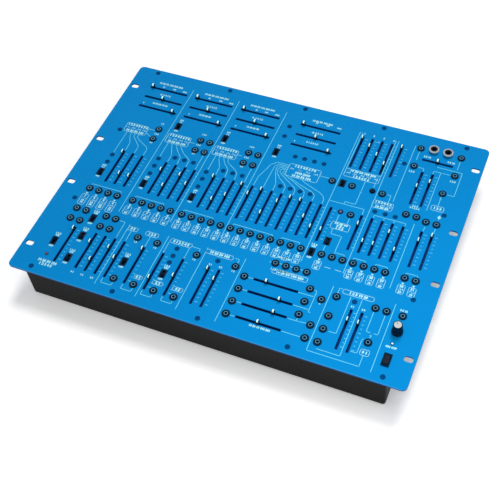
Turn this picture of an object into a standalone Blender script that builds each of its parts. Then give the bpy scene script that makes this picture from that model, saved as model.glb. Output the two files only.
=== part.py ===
"""Analog synthesizer: a 19-inch rack panel of sliders, patch sockets and switches on a shallow steel tub.

Metres, +Z up. The panel lies flat and faces up, its width along X and its far edge at +Y. The origin is
at the middle of the underside, at the height of the four pressed feet that the tub stands on.
"""

import math

import bmesh
import bpy
from mathutils import Matrix, Vector

# Clearances
SEAT_GAP = 0.0003
CUT_OVERRUN = 0.0010
FUSE_DEPTH = 0.0003
MERGE_DISTANCE = 0.00001

# Front panel, 19 inches wide and eight rack units high
PANEL_WIDTH = 0.4826
PANEL_DEPTH = 0.3548
PANEL_THICKNESS = 0.0020
PANEL_LIP = 0.00194
PANEL_CORNER_RADIUS = 0.0060
RACK_SLOT_LENGTH = 0.0100
RACK_SLOT_WIDTH = 0.0068
RACK_SLOT_FROM_EDGE = 0.00875
RACK_SLOT_OUTER_PITCH = 0.2794
RACK_SLOT_INNER_PITCH = 0.0762

# Every control stands on a grid, of which this many columns and rows make up the panel
PANEL_COLUMNS = 38
PANEL_ROWS = 27.937
PANEL_EAR_COLUMNS = 1.70079

# Circuit boards that carry the controls, with their edges and seams in rows of the grid
BOARD_THICKNESS = 0.0016
BOARD_SEAM_GAP = 0.0008
BOARD_FAR_EDGE_SHARE = 12.8
BOARD_FAR_SEAM_SHARE = 4.2
BOARD_NEAR_SEAM_SHARE = -4.33
BOARD_NEAR_EDGE_SHARE = -12.6

# Tub behind the panel
TUB_HEIGHT = 0.0443
TUB_SHEET = 0.0012
TUB_CORNER_RADIUS = 0.0030
TUB_SIDE_ROOM = 0.0026
FAR_FLANGE_WIDTH = 0.0100
NEAR_FLANGE_WIDTH = 0.0125
SIDE_TAB_WIDTH = 0.0100
SIDE_TAB_LENGTH = 0.0130
SIDE_TAB_FROM_CENTRE = 0.0630
FOOT_HEIGHT = 0.0030
FOOT_RADIUS = 0.0110
FOOT_TOE_RADIUS = 0.0085
FOOT_FROM_SIDE = 0.0350
FOOT_SIDES = 16

# Patch sockets for 3.5 mm plugs
SOCKET_BORE_RADIUS = 0.0018
SOCKET_BORE_SIDES = 6
SOCKET_NUT_RADIUS = 0.00425
SOCKET_NUT_HEIGHT = 0.0013
SOCKET_NUT_SIDES = 8
SOCKET_BODY_WIDTH = 0.0090
SOCKET_BODY_LENGTH_SHARE = 0.82677
SOCKET_BODY_HEIGHT = 0.0093

# Slide potentiometers, with their travel in columns or rows of the grid: 45 mm, and 30 mm for the pan
SLIDER_TRAVEL_SHARE = 3.54331
PAN_TRAVEL_SHARE = 2.36220
LEVER_ALONG = 0.0040
LEVER_ACROSS = 0.0016
SLOT_END_ROOM = 0.0021
SLOT_SIDE_ROOM = 0.0006
CARRIAGE_ALONG = 0.0100
CARRIAGE_ACROSS = 0.0056
CARRIAGE_THICKNESS = 0.0020
FADER_BODY_WIDTH = 0.0088
FADER_BODY_END = 0.00325
CAP_ALONG = 0.0040
CAP_ACROSS = 0.0030
CAP_TIP_ALONG = 0.0034
CAP_TIP_ACROSS = 0.0024
CAP_LIFT = 0.0012
CAP_UNDERCUT = 0.0004
CAP_HEIGHT = 0.0046

# Slide switches
SWITCH_TRAVEL = 0.0040
SWITCH_LEVER_WIDTH = 0.0030
SWITCH_LEVER_LENGTH = 0.0044
SWITCH_LEVER_TIP_LENGTH = 0.0036
SWITCH_LEVER_PROUD = 0.0030
SWITCH_CHANNEL_DEPTH = 0.0026
SWITCH_CHEEK = 0.0019
SWITCH_RIM = 0.0012
SWITCH_SHOULDER = 0.0010

# Output sockets for quarter-inch plugs, with the size of their bodies in columns and rows of the grid
OUTPUT_BODY_SHARE = 1.22047
OUTPUT_BORE_RADIUS = 0.0033
OUTPUT_BUSHING_RADIUS = 0.0048
OUTPUT_NUT_RADIUS = 0.00625
OUTPUT_NUT_HEIGHT = 0.0040
OUTPUT_BODY_HEIGHT = 0.0250
OUTPUT_BODY_FLOOR = 0.0020
OUTPUT_SIDES = 12

# Headphone level knob
KNOB_RADIUS = 0.0065
KNOB_WAIST_RADIUS = 0.0057
KNOB_TOP_RADIUS = 0.0052
KNOB_HEIGHT = 0.0155
KNOB_SKIRT_HEIGHT = 0.0030
KNOB_LIFT = 0.0008
KNOB_EDGE = 0.0004
KNOB_SHAFT_RADIUS = 0.0030
KNOB_SHAFT_ROOM = 0.0006
KNOB_SIDES = 16
POT_BODY_WIDTH = 0.0090
POT_BODY_HEIGHT = 0.0065

# Power switch
ROCKER_WIDTH = 0.0062
ROCKER_HALF_LENGTH = 0.0050
ROCKER_END_HEIGHT = 0.0042
ROCKER_MIDDLE_HEIGHT = 0.0030
ROCKER_KEEL_HALF_LENGTH = 0.0038
ROCKER_KEEL_DEPTH = 0.0018
ROCKER_PIVOT_DROP = 0.0004
ROCKER_SWING = math.radians(20)
ROCKER_WALL = 0.0007
ROCKER_SIDE_RIM = 0.0004
ROCKER_END_RIM = 0.0010
ROCKER_FRAME_PROUD = 0.0018
ROCKER_BODY_HEIGHT = 0.0130

# Manual gate button and indicator lamps
BUTTON_RADIUS = 0.0028
BUTTON_PROUD = 0.0022
BUTTON_TRAVEL = 0.0012
BUTTON_BODY_WIDTH = 0.0060
BUTTON_BODY_HEIGHT = 0.0050
BUTTON_FLANGE_WIDTH = 0.0012
BUTTON_FLANGE_THICKNESS = 0.0010
BUTTON_SIDES = 12
LAMP_RADIUS = 0.0015
LAMP_DOME_RADIUS = 0.0009
LAMP_PROUD = 0.0010
LAMP_SIDES = 8

# Spring reverb tank on the tub's floor
TANK_LENGTH = 0.1650
TANK_WIDTH = 0.0470
TANK_HEIGHT = 0.0260
TANK_SHEET = 0.0010
TANK_FROM_CENTRE_X = -0.0500
TANK_FROM_CENTRE_Y = -0.0350
TRANSDUCER_LENGTH = 0.0180
TRANSDUCER_WIDTH = 0.0360
TRANSDUCER_HEIGHT = 0.0160
SPRING_RADIUS = 0.0022
SPRING_PITCH = 0.0100
SPRING_COUNT = 3
SPRING_SIDES = 6

# Socket board behind the tub's far wall
SOCKET_BOARD_WIDTH = 0.1300
SOCKET_BOARD_DEPTH = 0.0450
SOCKET_BOARD_LIFT = 0.0050
SOCKET_BOARD_FROM_CENTRE = 0.0790
STANDOFF_RADIUS = 0.0030
STANDOFF_SIDES = 8
DIN_BODY_WIDTH = 0.0200
DIN_BODY_DEPTH = 0.0140
DIN_BODY_HEIGHT = 0.0190
DIN_NOSE_RADIUS = 0.0076
DIN_RING_RADIUS = 0.0068
DIN_CORE_RADIUS = 0.0058
DIN_RING_DEPTH = 0.0080
DIN_SIDES = 12
DIN_PITCH = 0.0240
DIN_FROM_BOARD_END = 0.0170
USB_BODY_WIDTH = 0.0120
USB_BODY_DEPTH = 0.0160
USB_BODY_HEIGHT = 0.0110
USB_MOUTH_WIDTH = 0.0085
USB_MOUTH_HEIGHT = 0.0078
USB_MOUTH_DEPTH = 0.0090
USB_TONGUE_WIDTH = 0.0056
USB_TONGUE_HEIGHT = 0.0032
USB_FROM_BOARD_END = 0.0650
DC_BODY_WIDTH = 0.0100
DC_BODY_DEPTH = 0.0140
DC_BODY_HEIGHT = 0.0110
DC_MOUTH_RADIUS = 0.0029
DC_MOUTH_DEPTH = 0.0095
DC_PIN_RADIUS = 0.0010
DC_PIN_SIDES = 6
DC_SIDES = 10
DC_FROM_BOARD_END = 0.1070

# Sizes in plan that follow from the ones above
GRID_COLUMN = PANEL_WIDTH / PANEL_COLUMNS
GRID_ROW = PANEL_DEPTH / PANEL_ROWS
TUB_WIDTH = PANEL_WIDTH - 2 * PANEL_EAR_COLUMNS * GRID_COLUMN
TUB_DEPTH = PANEL_DEPTH - 2 * PANEL_LIP
BOARD_WIDTH = TUB_WIDTH - 2 * (TUB_SHEET + TUB_SIDE_ROOM)
RACK_SLOT_SPREAD = PANEL_WIDTH - 2 * RACK_SLOT_FROM_EDGE
ACROSS_TRAVEL = SLIDER_TRAVEL_SHARE * GRID_COLUMN
UPRIGHT_TRAVEL = SLIDER_TRAVEL_SHARE * GRID_ROW
PAN_TRAVEL = PAN_TRAVEL_SHARE * GRID_COLUMN
SOCKET_BODY_LENGTH = SOCKET_BODY_LENGTH_SHARE * GRID_ROW
OUTPUT_BODY_WIDTH = OUTPUT_BODY_SHARE * GRID_COLUMN
OUTPUT_BODY_DEPTH = OUTPUT_BODY_SHARE * GRID_ROW
SLOT_OVER_TRAVEL = LEVER_ALONG + 2 * SLOT_END_ROOM
SLOT_WIDTH = LEVER_ACROSS + 2 * SLOT_SIDE_ROOM
FADER_BODY_OVER_TRAVEL = CARRIAGE_ALONG + 2 * FADER_BODY_END
SWITCH_CHANNEL_WIDTH = SWITCH_LEVER_WIDTH + 2 * SEAT_GAP
SWITCH_CHANNEL_LENGTH = SWITCH_TRAVEL + SWITCH_LEVER_LENGTH + 2 * SEAT_GAP
SWITCH_BEZEL_WIDTH = SWITCH_CHANNEL_WIDTH + 2 * SWITCH_CHEEK
SWITCH_BEZEL_LENGTH = SWITCH_CHANNEL_LENGTH + 2 * SWITCH_RIM
ROCKER_REACH = ROCKER_HALF_LENGTH * math.cos(ROCKER_SWING / 2) + ROCKER_END_HEIGHT * math.sin(ROCKER_SWING / 2)
ROCKER_POCKET_WIDTH = ROCKER_WIDTH + 2 * SEAT_GAP
ROCKER_POCKET_LENGTH = 2 * (ROCKER_REACH + SEAT_GAP)
ROCKER_POCKET_DEPTH = math.hypot(ROCKER_KEEL_HALF_LENGTH, ROCKER_KEEL_DEPTH) + SEAT_GAP
ROCKER_BODY_WIDTH = ROCKER_POCKET_WIDTH + 2 * ROCKER_WALL
ROCKER_BODY_LENGTH = ROCKER_POCKET_LENGTH + 2 * ROCKER_WALL

# Heights worked out from the sizes above
TUB_BASE = FOOT_HEIGHT
FLOOR_TOP = TUB_BASE + TUB_SHEET
TUB_TOP = TUB_BASE + TUB_HEIGHT
PANEL_UNDERSIDE = TUB_TOP + SEAT_GAP
PANEL_TOP = PANEL_UNDERSIDE + PANEL_THICKNESS
SOCKET_BODY_TOP = PANEL_UNDERSIDE - SEAT_GAP
BOARD_TOP = SOCKET_BODY_TOP - SOCKET_BODY_HEIGHT
CARRIAGE_TOP = PANEL_UNDERSIDE - SEAT_GAP
CARRIAGE_BASE = CARRIAGE_TOP - CARRIAGE_THICKNESS
FADER_BODY_TOP = CARRIAGE_BASE - SEAT_GAP
SOCKET_BOARD_TOP = FLOOR_TOP + SOCKET_BOARD_LIFT + BOARD_THICKNESS

# Patch sockets: first column, row, how many, and the step between them, in columns and rows of the grid
SOCKET_ROW_SHARES = (
    (-16.09, -3.255, 4, 1.0),
    (-11.40, -3.255, 5, 1.0),
    (-6.20, -3.255, 13, 1.0),
    (7.80, -3.255, 7, 1.0),
    (15.60, -3.255, 2, 1.0),
    (-13.09, 6.015, 1, 1.0),
    (-13.09, 4.655, 1, 1.0),
    (-8.40, 5.985, 2, 1.0),
    (-8.40, 4.625, 2, 1.0),
    (-3.19, 6.015, 2, 1.0),
    (-3.19, 4.625, 2, 1.0),
    (5.80, 5.295, 2, 2.0),
    (10.80, 5.305, 1, 1.0),
    (12.60, 12.045, 2, 4.03),
    (12.61, 9.645, 2, 4.02),
    (16.12, 7.165, 1, 1.0),
    (13.62, 3.665, 2, 1.0),
    (15.60, 3.385, 2, 1.0),
    (8.81, 1.915, 1, 1.0),
    (-16.09, -5.855, 2, 1.0),
    (-12.90, -5.855, 2, 1.0),
    (-16.09, -7.125, 2, 1.0),
    (-12.90, -7.125, 2, 1.0),
    (-8.91, -7.125, 2, 2.01),
    (-2.88, -7.125, 1, 1.0),
    (0.98, -7.125, 1, 1.0),
    (-8.92, -12.015, 4, 2.0),
    (2.14, -7.835, 1, 1.0),
    (2.14, -9.235, 1, 1.0),
    (2.14, -10.625, 1, 1.0),
    (2.14, -12.015, 1, 1.0),
    (4.24, -5.565, 4, 1.0),
    (8.15, -7.135, 1, 1.0),
    (8.15, -8.565, 1, 1.0),
    (8.15, -9.965, 1, 1.0),
    (9.46, -7.855, 1, 1.0),
    (9.46, -10.635, 1, 1.0),
    (9.46, -12.015, 1, 1.0),
    (10.61, -7.135, 1, 1.0),
    (10.61, -9.245, 1, 1.0),
    (10.61, -10.625, 1, 1.0),
    (10.61, -12.015, 1, 1.0),
    (14.17, -7.135, 2, 1.0),
    (14.64, -10.625, 1, 1.0),
    (16.61, -7.135, 1, 1.0),
)

# Sliders that lie across the panel: name, column, row, and the setting in quarters of the travel
ACROSS_SLIDER_SHARES = (
    ("oscillator_1_frequency_slider", -14.53, 11.39, -2),
    ("oscillator_1_fine_tune_slider", -14.53, 9.97, 0),
    ("oscillator_1_pulse_width_slider", -14.53, 8.57, 2),
    ("oscillator_2_frequency_slider", -9.37, 11.39, -2),
    ("oscillator_2_fine_tune_slider", -9.37, 9.97, 0),
    ("oscillator_2_pulse_width_slider", -9.37, 8.57, 2),
    ("oscillator_3_frequency_slider", -4.15, 11.39, -2),
    ("oscillator_3_fine_tune_slider", -4.15, 9.97, 0),
    ("oscillator_3_pulse_width_slider", -4.15, 8.57, 2),
    ("filter_frequency_slider", 2.39, 11.39, -2),
    ("filter_fine_tune_slider", 2.39, 9.97, 0),
    ("filter_resonance_slider", 2.39, 8.57, 2),
    ("processor_1_level_slider", 5.14, -7.80, -1),
    ("processor_2_level_slider", 5.14, -9.20, 1),
    ("processor_3_level_slider", 5.14, -10.60, 1),
    ("lag_time_slider", 5.14, -12.00, 0),
)
PAN_SLIDER_SHARES = ("pan_slider", 14.63, 10.74, 0)

# Sliders that run up the panel and move on their own
UPRIGHT_SLIDER_SHARES = (
    ("attack_slider", 6.81, 9.65, 2),
    ("decay_slider", 7.80, 9.65, 1),
    ("sustain_slider", 8.81, 9.65, 0),
    ("release_slider", 9.82, 9.65, -1),
    ("amplifier_gain_slider", 10.84, 9.65, 2),
    ("left_output_slider", 13.60, 7.10, 0),
    ("right_output_slider", 14.62, 7.10, 1),
    ("noise_color_slider", -15.08, -10.04, 2),
    ("noise_level_slider", -12.84, -10.04, 1),
    ("input_gain_slider", -11.86, -10.04, -1),
    ("input_level_slider", -10.85, -10.04, 1),
    ("follower_level_slider", -9.85, -10.04, 0),
    ("modulator_level_slider", -7.84, -10.04, 2),
    ("clock_rate_slider", -5.85, -10.04, -1),
    ("sample_level_slider", -3.86, -10.04, 0),
)

# Sliders left whole with the board that carries them: column, row and setting
FIXED_SLIDER_SHARES = (
    (-15.10, 0.13, 2),
    (-14.10, 0.13, -1),
    (-13.07, 0.13, -1),
    (-10.42, 0.13, 1),
    (-9.37, 0.13, -1),
    (-8.35, 0.13, 1),
    (-7.33, 0.13, 0),
    (-5.20, 0.13, 2),
    (-4.20, 0.13, -1),
    (-3.17, 0.13, 0),
    (-2.20, 0.13, 2),
    (-1.20, 0.13, 1),
    (-0.18, 0.13, 2),
    (0.80, 0.13, -1),
    (1.79, 0.13, 1),
    (2.79, 0.13, 2),
    (3.80, 0.13, 2),
    (4.78, 0.13, 0),
    (5.78, 0.13, -1),
    (6.81, 0.13, -1),
    (9.82, 0.13, 1),
    (10.84, 0.13, -1),
    (11.83, 0.13, -1),
    (12.81, 0.13, 1),
    (13.83, 0.13, -1),
    (15.57, 0.13, 1),
    (16.59, 0.13, 2),
    (-1.26, -10.04, 2),
    (-0.26, -10.04, 1),
    (12.28, -10.04, 1),
    (13.26, -10.04, 1),
)

# Slide switches: name, column, row, and the setting, -1 for the near end and 1 for the far end
SWITCH_SHARES = (
    ("oscillator_2_range_switch", -11.41, 7.07, 1),
    ("oscillator_3_range_switch", -6.22, 7.04, 1),
    ("filter_range_switch", -0.71, 7.04, 1),
    ("oscillator_1_sync_switch", -16.13, -0.97, -1),
    ("oscillator_2_sync_switch", -11.41, -0.97, -1),
    ("oscillator_3_sync_switch", -6.24, -0.97, -1),
    ("envelope_gate_switch", 6.81, 5.34, 1),
    ("follower_mode_switch", 7.80, -1.65, -1),
    ("envelope_repeat_switch", 6.81, -3.28, 1),
    ("input_gain_switch", -14.04, -6.48, 1),
    ("input_range_switch", -14.04, -8.66, -1),
    ("input_source_switch", -14.04, -11.33, -1),
    ("noise_range_switch", -16.25, -10.02, 1),
    ("modulator_coupling_switch", -8.91, -10.02, 1),
    ("clock_mode_switch", -4.93, -10.02, -1),
)

# Single controls: column and row
OUTPUT_SOCKET_SHARES = (("left_output_socket", 13.89, 12.12), ("right_output_socket", 15.29, 12.12))
KNOB_SHARES = (16.63, -8.79)
ROCKER_SHARES = (16.61, -11.70)
BUTTON_SHARES = (9.82, 5.34)
LAMP_SHARES = ((7.80, 1.99), (-16.13, -11.61), (16.59, -10.02))

# Directions along the panel
UP_THE_PANEL = "up"
ACROSS_THE_PANEL = "across"


def place(column_share, row_share):
    """A control's place on the panel."""
    return Vector((column_share * GRID_COLUMN, row_share * GRID_ROW, 0))


def socket_places():
    places = []
    for column, row, count, step in SOCKET_ROW_SHARES:
        for index in range(count):
            places.append(place(column + index * step, row))
    return places


def fader_places():
    """Every slide potentiometer: its centre, its direction and its travel."""
    faders = []
    for _, column, row, _ in ACROSS_SLIDER_SHARES:
        faders.append((place(column, row), ACROSS_THE_PANEL, ACROSS_TRAVEL))
    for _, column, row, _ in UPRIGHT_SLIDER_SHARES:
        faders.append((place(column, row), UP_THE_PANEL, UPRIGHT_TRAVEL))
    for column, row, _ in FIXED_SLIDER_SHARES:
        faders.append((place(column, row), UP_THE_PANEL, UPRIGHT_TRAVEL))
    _, column, row, _ = PAN_SLIDER_SHARES
    faders.append((place(column, row), ACROSS_THE_PANEL, PAN_TRAVEL))
    return faders


def travel_direction(direction):
    return Vector((1, 0, 0)) if direction == ACROSS_THE_PANEL else Vector((0, 1, 0))


def plan_size(along, across, direction):
    """Width and depth, in plan, of something that is long in its travel's direction."""
    return (along, across) if direction == ACROSS_THE_PANEL else (across, along)


def clear_scene():
    for obj in list(bpy.data.objects):
        bpy.data.objects.remove(obj)


def make_collection(name):
    collection = bpy.data.collections.new(name)
    bpy.context.scene.collection.children.link(collection)
    return collection


def make_material(name, color, roughness, metallic):
    material = bpy.data.materials.new(name)
    material.use_nodes = True
    shader = material.node_tree.nodes["Principled BSDF"]
    shader.inputs["Base Color"].default_value = (*color, 1)
    shader.inputs["Roughness"].default_value = roughness
    shader.inputs["Metallic"].default_value = metallic
    return material


def make_object(name, bm, collection, material=None):
    mesh = bpy.data.meshes.new(name)
    bmesh.ops.recalc_face_normals(bm, faces=bm.faces[:])
    bm.to_mesh(mesh)
    bm.free()
    obj = bpy.data.objects.new(name, mesh)
    collection.objects.link(obj)
    if material:
        mesh.materials.append(material)
    return obj


def make_cutter(name, bm):
    cutter = make_object(name, bm, cutters)
    cutter.hide_render = True
    cutter.display_type = "WIRE"
    return cutter


def combine(target, other, operation, overlapping=False):
    """Adds or cuts the other solid. Overlapping says that its own boxes may run into each other."""
    modifier = target.modifiers.new(other.name, "BOOLEAN")
    modifier.use_self = overlapping
    modifier.operation = operation
    modifier.object = other
    modifier.solver = "EXACT"


def add_box(bm, width, depth, low, high, centre=Vector()):
    """A box that stands on the height low and ends at the height high."""
    middle = Matrix.Translation(centre + Vector((0, 0, (low + high) / 2)))
    size = Matrix.Diagonal((width, depth, high - low, 1))
    return bmesh.ops.create_cube(bm, size=1, matrix=middle @ size)["verts"]


def add_chamfered_box(bm, width, depth, low, high, corner, centre=Vector(), steps=1):
    """A box whose upright edges are cut off, or rounded in more than one step."""
    verts = add_box(bm, width, depth, low, high, centre)
    upright = [
        edge
        for edge in {edge for vert in verts for edge in vert.link_edges}
        if abs((edge.verts[0].co - edge.verts[1].co).z) > (high - low) / 2
    ]
    bmesh.ops.bevel(
        bm, geom=upright, offset=corner, offset_type="OFFSET", segments=steps, profile=0.5, affect="EDGES"
    )


def add_cylinder(bm, radius, low, high, sides, centre=Vector(), top_radius=None):
    bmesh.ops.create_cone(
        bm,
        cap_ends=True,
        segments=sides,
        radius1=radius,
        radius2=radius if top_radius is None else top_radius,
        depth=high - low,
        matrix=Matrix.Translation(centre + Vector((0, 0, (low + high) / 2)))
        @ Matrix.Rotation(math.pi / sides, 4, "Z"),
    )


def add_far_facing_cylinder(bm, radius, near, far, sides, x, z):
    """A cylinder that lies along Y."""
    turn = Matrix.Rotation(math.pi / 2, 4, "X") @ Matrix.Rotation(math.pi / sides, 4, "Z")
    bmesh.ops.create_cone(
        bm,
        cap_ends=True,
        segments=sides,
        radius1=radius,
        radius2=radius,
        depth=far - near,
        matrix=Matrix.Translation((x, (near + far) / 2, z)) @ turn,
    )


def add_stack(bm, levels, centre=Vector()):
    """A solid that is extruded upwards through rectangles, each given as width, depth and height."""
    width, depth, height = levels[0]
    start = Matrix.Translation(centre) @ Matrix.Diagonal((width / 2, depth / 2, 1, 1))
    corners = bmesh.ops.create_grid(bm, x_segments=1, y_segments=1, size=1, matrix=start)["verts"]
    for corner in corners:
        corner.co.z = centre.z + height
    face = corners[0].link_faces[0]
    for index, (next_width, next_depth, next_height) in enumerate(levels[1:]):
        grown = bmesh.ops.extrude_face_region(bm, geom=[face])["geom"]
        if index > 0:
            bmesh.ops.delete(bm, geom=[face], context="FACES_ONLY")
        for vert in (item for item in grown if isinstance(item, bmesh.types.BMVert)):
            vert.co.x = centre.x + (vert.co.x - centre.x) * next_width / width
            vert.co.y = centre.y + (vert.co.y - centre.y) * next_depth / depth
            vert.co.z = centre.z + next_height
        face = next(item for item in grown if isinstance(item, bmesh.types.BMFace))
        width, depth = next_width, next_depth


def build_front_panel():
    """The steel plate with its nuts, slots, bores and windows."""
    bm = bmesh.new()
    add_chamfered_box(
        bm, PANEL_WIDTH, PANEL_DEPTH, PANEL_UNDERSIDE, PANEL_TOP, PANEL_CORNER_RADIUS, steps=4
    )
    panel = make_object("front_panel", bm, parts, panel_blue)

    bm = bmesh.new()
    for spot in socket_places():
        nut_low = PANEL_TOP - FUSE_DEPTH
        nut_high = PANEL_TOP + SOCKET_NUT_HEIGHT
        add_cylinder(bm, SOCKET_NUT_RADIUS, nut_low, nut_high, SOCKET_NUT_SIDES, spot)
    combine(panel, make_cutter("panel_socket_nuts", bm), "UNION")

    bm = bmesh.new()
    low = PANEL_UNDERSIDE - CUT_OVERRUN
    high = PANEL_TOP + SOCKET_NUT_HEIGHT + CUT_OVERRUN
    for spot in socket_places():
        add_cylinder(bm, SOCKET_BORE_RADIUS, low, high, SOCKET_BORE_SIDES, spot)
    for spot, direction, travel in fader_places():
        width, depth = plan_size(travel + SLOT_OVER_TRAVEL, SLOT_WIDTH, direction)
        add_box(bm, width, depth, low, high, spot)
    for _, column, row, _ in SWITCH_SHARES:
        window = (SWITCH_BEZEL_WIDTH + 2 * SEAT_GAP, SWITCH_BEZEL_LENGTH + 2 * SEAT_GAP)
        add_box(bm, *window, low, high, place(column, row))
    for _, column, row in OUTPUT_SOCKET_SHARES:
        add_cylinder(bm, OUTPUT_BUSHING_RADIUS + SEAT_GAP, low, high, OUTPUT_SIDES, place(column, row))
    for column, row in LAMP_SHARES:
        add_cylinder(bm, LAMP_RADIUS + SEAT_GAP, low, high, LAMP_SIDES, place(column, row))
    add_cylinder(bm, KNOB_SHAFT_RADIUS + KNOB_SHAFT_ROOM, low, high, KNOB_SIDES, place(*KNOB_SHARES))
    add_cylinder(bm, BUTTON_RADIUS + SEAT_GAP, low, high, BUTTON_SIDES, place(*BUTTON_SHARES))
    rocker_window = (ROCKER_BODY_WIDTH + 2 * SEAT_GAP, ROCKER_BODY_LENGTH + 2 * SEAT_GAP)
    add_box(bm, *rocker_window, low, high, place(*ROCKER_SHARES))
    for side in (-1, 1):
        for pitch in (RACK_SLOT_OUTER_PITCH, RACK_SLOT_INNER_PITCH):
            for end in (-1, 1):
                spot = Vector((side * RACK_SLOT_SPREAD / 2, end * pitch / 2, 0))
                add_chamfered_box(
                    bm, RACK_SLOT_LENGTH, RACK_SLOT_WIDTH, low, high, RACK_SLOT_WIDTH / 3, spot, steps=2
                )
    combine(panel, make_cutter("panel_cutouts", bm), "DIFFERENCE")
    return panel


def build_rear_tub():
    """The folded tub: floor, four walls, two screw flanges, four screw tabs and four pressed feet."""
    bm = bmesh.new()
    add_chamfered_box(bm, TUB_WIDTH, TUB_DEPTH, TUB_BASE, TUB_TOP, TUB_CORNER_RADIUS, steps=2)
    tub = make_object("rear_tub", bm, parts, tub_black)

    bm = bmesh.new()
    inner_width = TUB_WIDTH - 2 * TUB_SHEET
    inner_depth = TUB_DEPTH - 2 * TUB_SHEET
    add_chamfered_box(
        bm, inner_width, inner_depth, FLOOR_TOP, TUB_TOP - TUB_SHEET, TUB_CORNER_RADIUS - TUB_SHEET
    )
    combine(tub, make_cutter("tub_cavity", bm), "DIFFERENCE")

    bm = bmesh.new()
    low = TUB_TOP - TUB_SHEET - CUT_OVERRUN
    high = TUB_TOP + CUT_OVERRUN
    mouth_far = TUB_DEPTH / 2 - FAR_FLANGE_WIDTH
    mouth_near = -TUB_DEPTH / 2 + NEAR_FLANGE_WIDTH
    mouth_centre = Vector((0, (mouth_far + mouth_near) / 2, 0))
    add_box(bm, inner_width, mouth_far - mouth_near, low, high, mouth_centre)
    combine(tub, make_cutter("tub_mouth", bm), "DIFFERENCE")

    bm = bmesh.new()
    for side in (-1, 1):
        for end in (-1, 1):
            edge = side * (TUB_WIDTH - TUB_SHEET - SIDE_TAB_WIDTH) / 2
            spot = Vector((edge, end * SIDE_TAB_FROM_CENTRE, 0))
            add_box(bm, SIDE_TAB_WIDTH, SIDE_TAB_LENGTH, TUB_TOP - TUB_SHEET, TUB_TOP, spot)
            foot = Vector(
                (side * (TUB_WIDTH / 2 - FOOT_FROM_SIDE), end * (TUB_DEPTH / 2 - FOOT_FROM_SIDE), 0)
            )
            add_cylinder(
                bm, FOOT_TOE_RADIUS, 0, TUB_BASE + FUSE_DEPTH, FOOT_SIDES, foot, top_radius=FOOT_RADIUS
            )
    combine(tub, make_cutter("tub_tabs_and_feet", bm), "UNION")

    bm = bmesh.new()
    near = TUB_DEPTH / 2 - TUB_SHEET - CUT_OVERRUN
    far = TUB_DEPTH / 2 + CUT_OVERRUN
    for x in din_places():
        add_far_facing_cylinder(bm, DIN_NOSE_RADIUS + SEAT_GAP, near, far, DIN_SIDES, x, din_height())
    for x, width, height in (
        (from_board_end(USB_FROM_BOARD_END), USB_BODY_WIDTH, USB_BODY_HEIGHT),
        (from_board_end(DC_FROM_BOARD_END), DC_BODY_WIDTH, DC_BODY_HEIGHT),
    ):
        window = Vector((x, (near + far) / 2, 0))
        low = SOCKET_BOARD_TOP - SEAT_GAP
        add_box(bm, width + 2 * SEAT_GAP, far - near, low, low + height + 2 * SEAT_GAP, window)
    combine(tub, make_cutter("tub_socket_windows", bm), "DIFFERENCE")
    return tub


def from_board_end(distance):
    """A place along the socket board, measured from the end that lies at +X."""
    return SOCKET_BOARD_FROM_CENTRE + SOCKET_BOARD_WIDTH / 2 - distance


def din_places():
    return (from_board_end(DIN_FROM_BOARD_END), from_board_end(DIN_FROM_BOARD_END + DIN_PITCH))


def din_height():
    return SOCKET_BOARD_TOP + DIN_BODY_HEIGHT / 2


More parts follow.
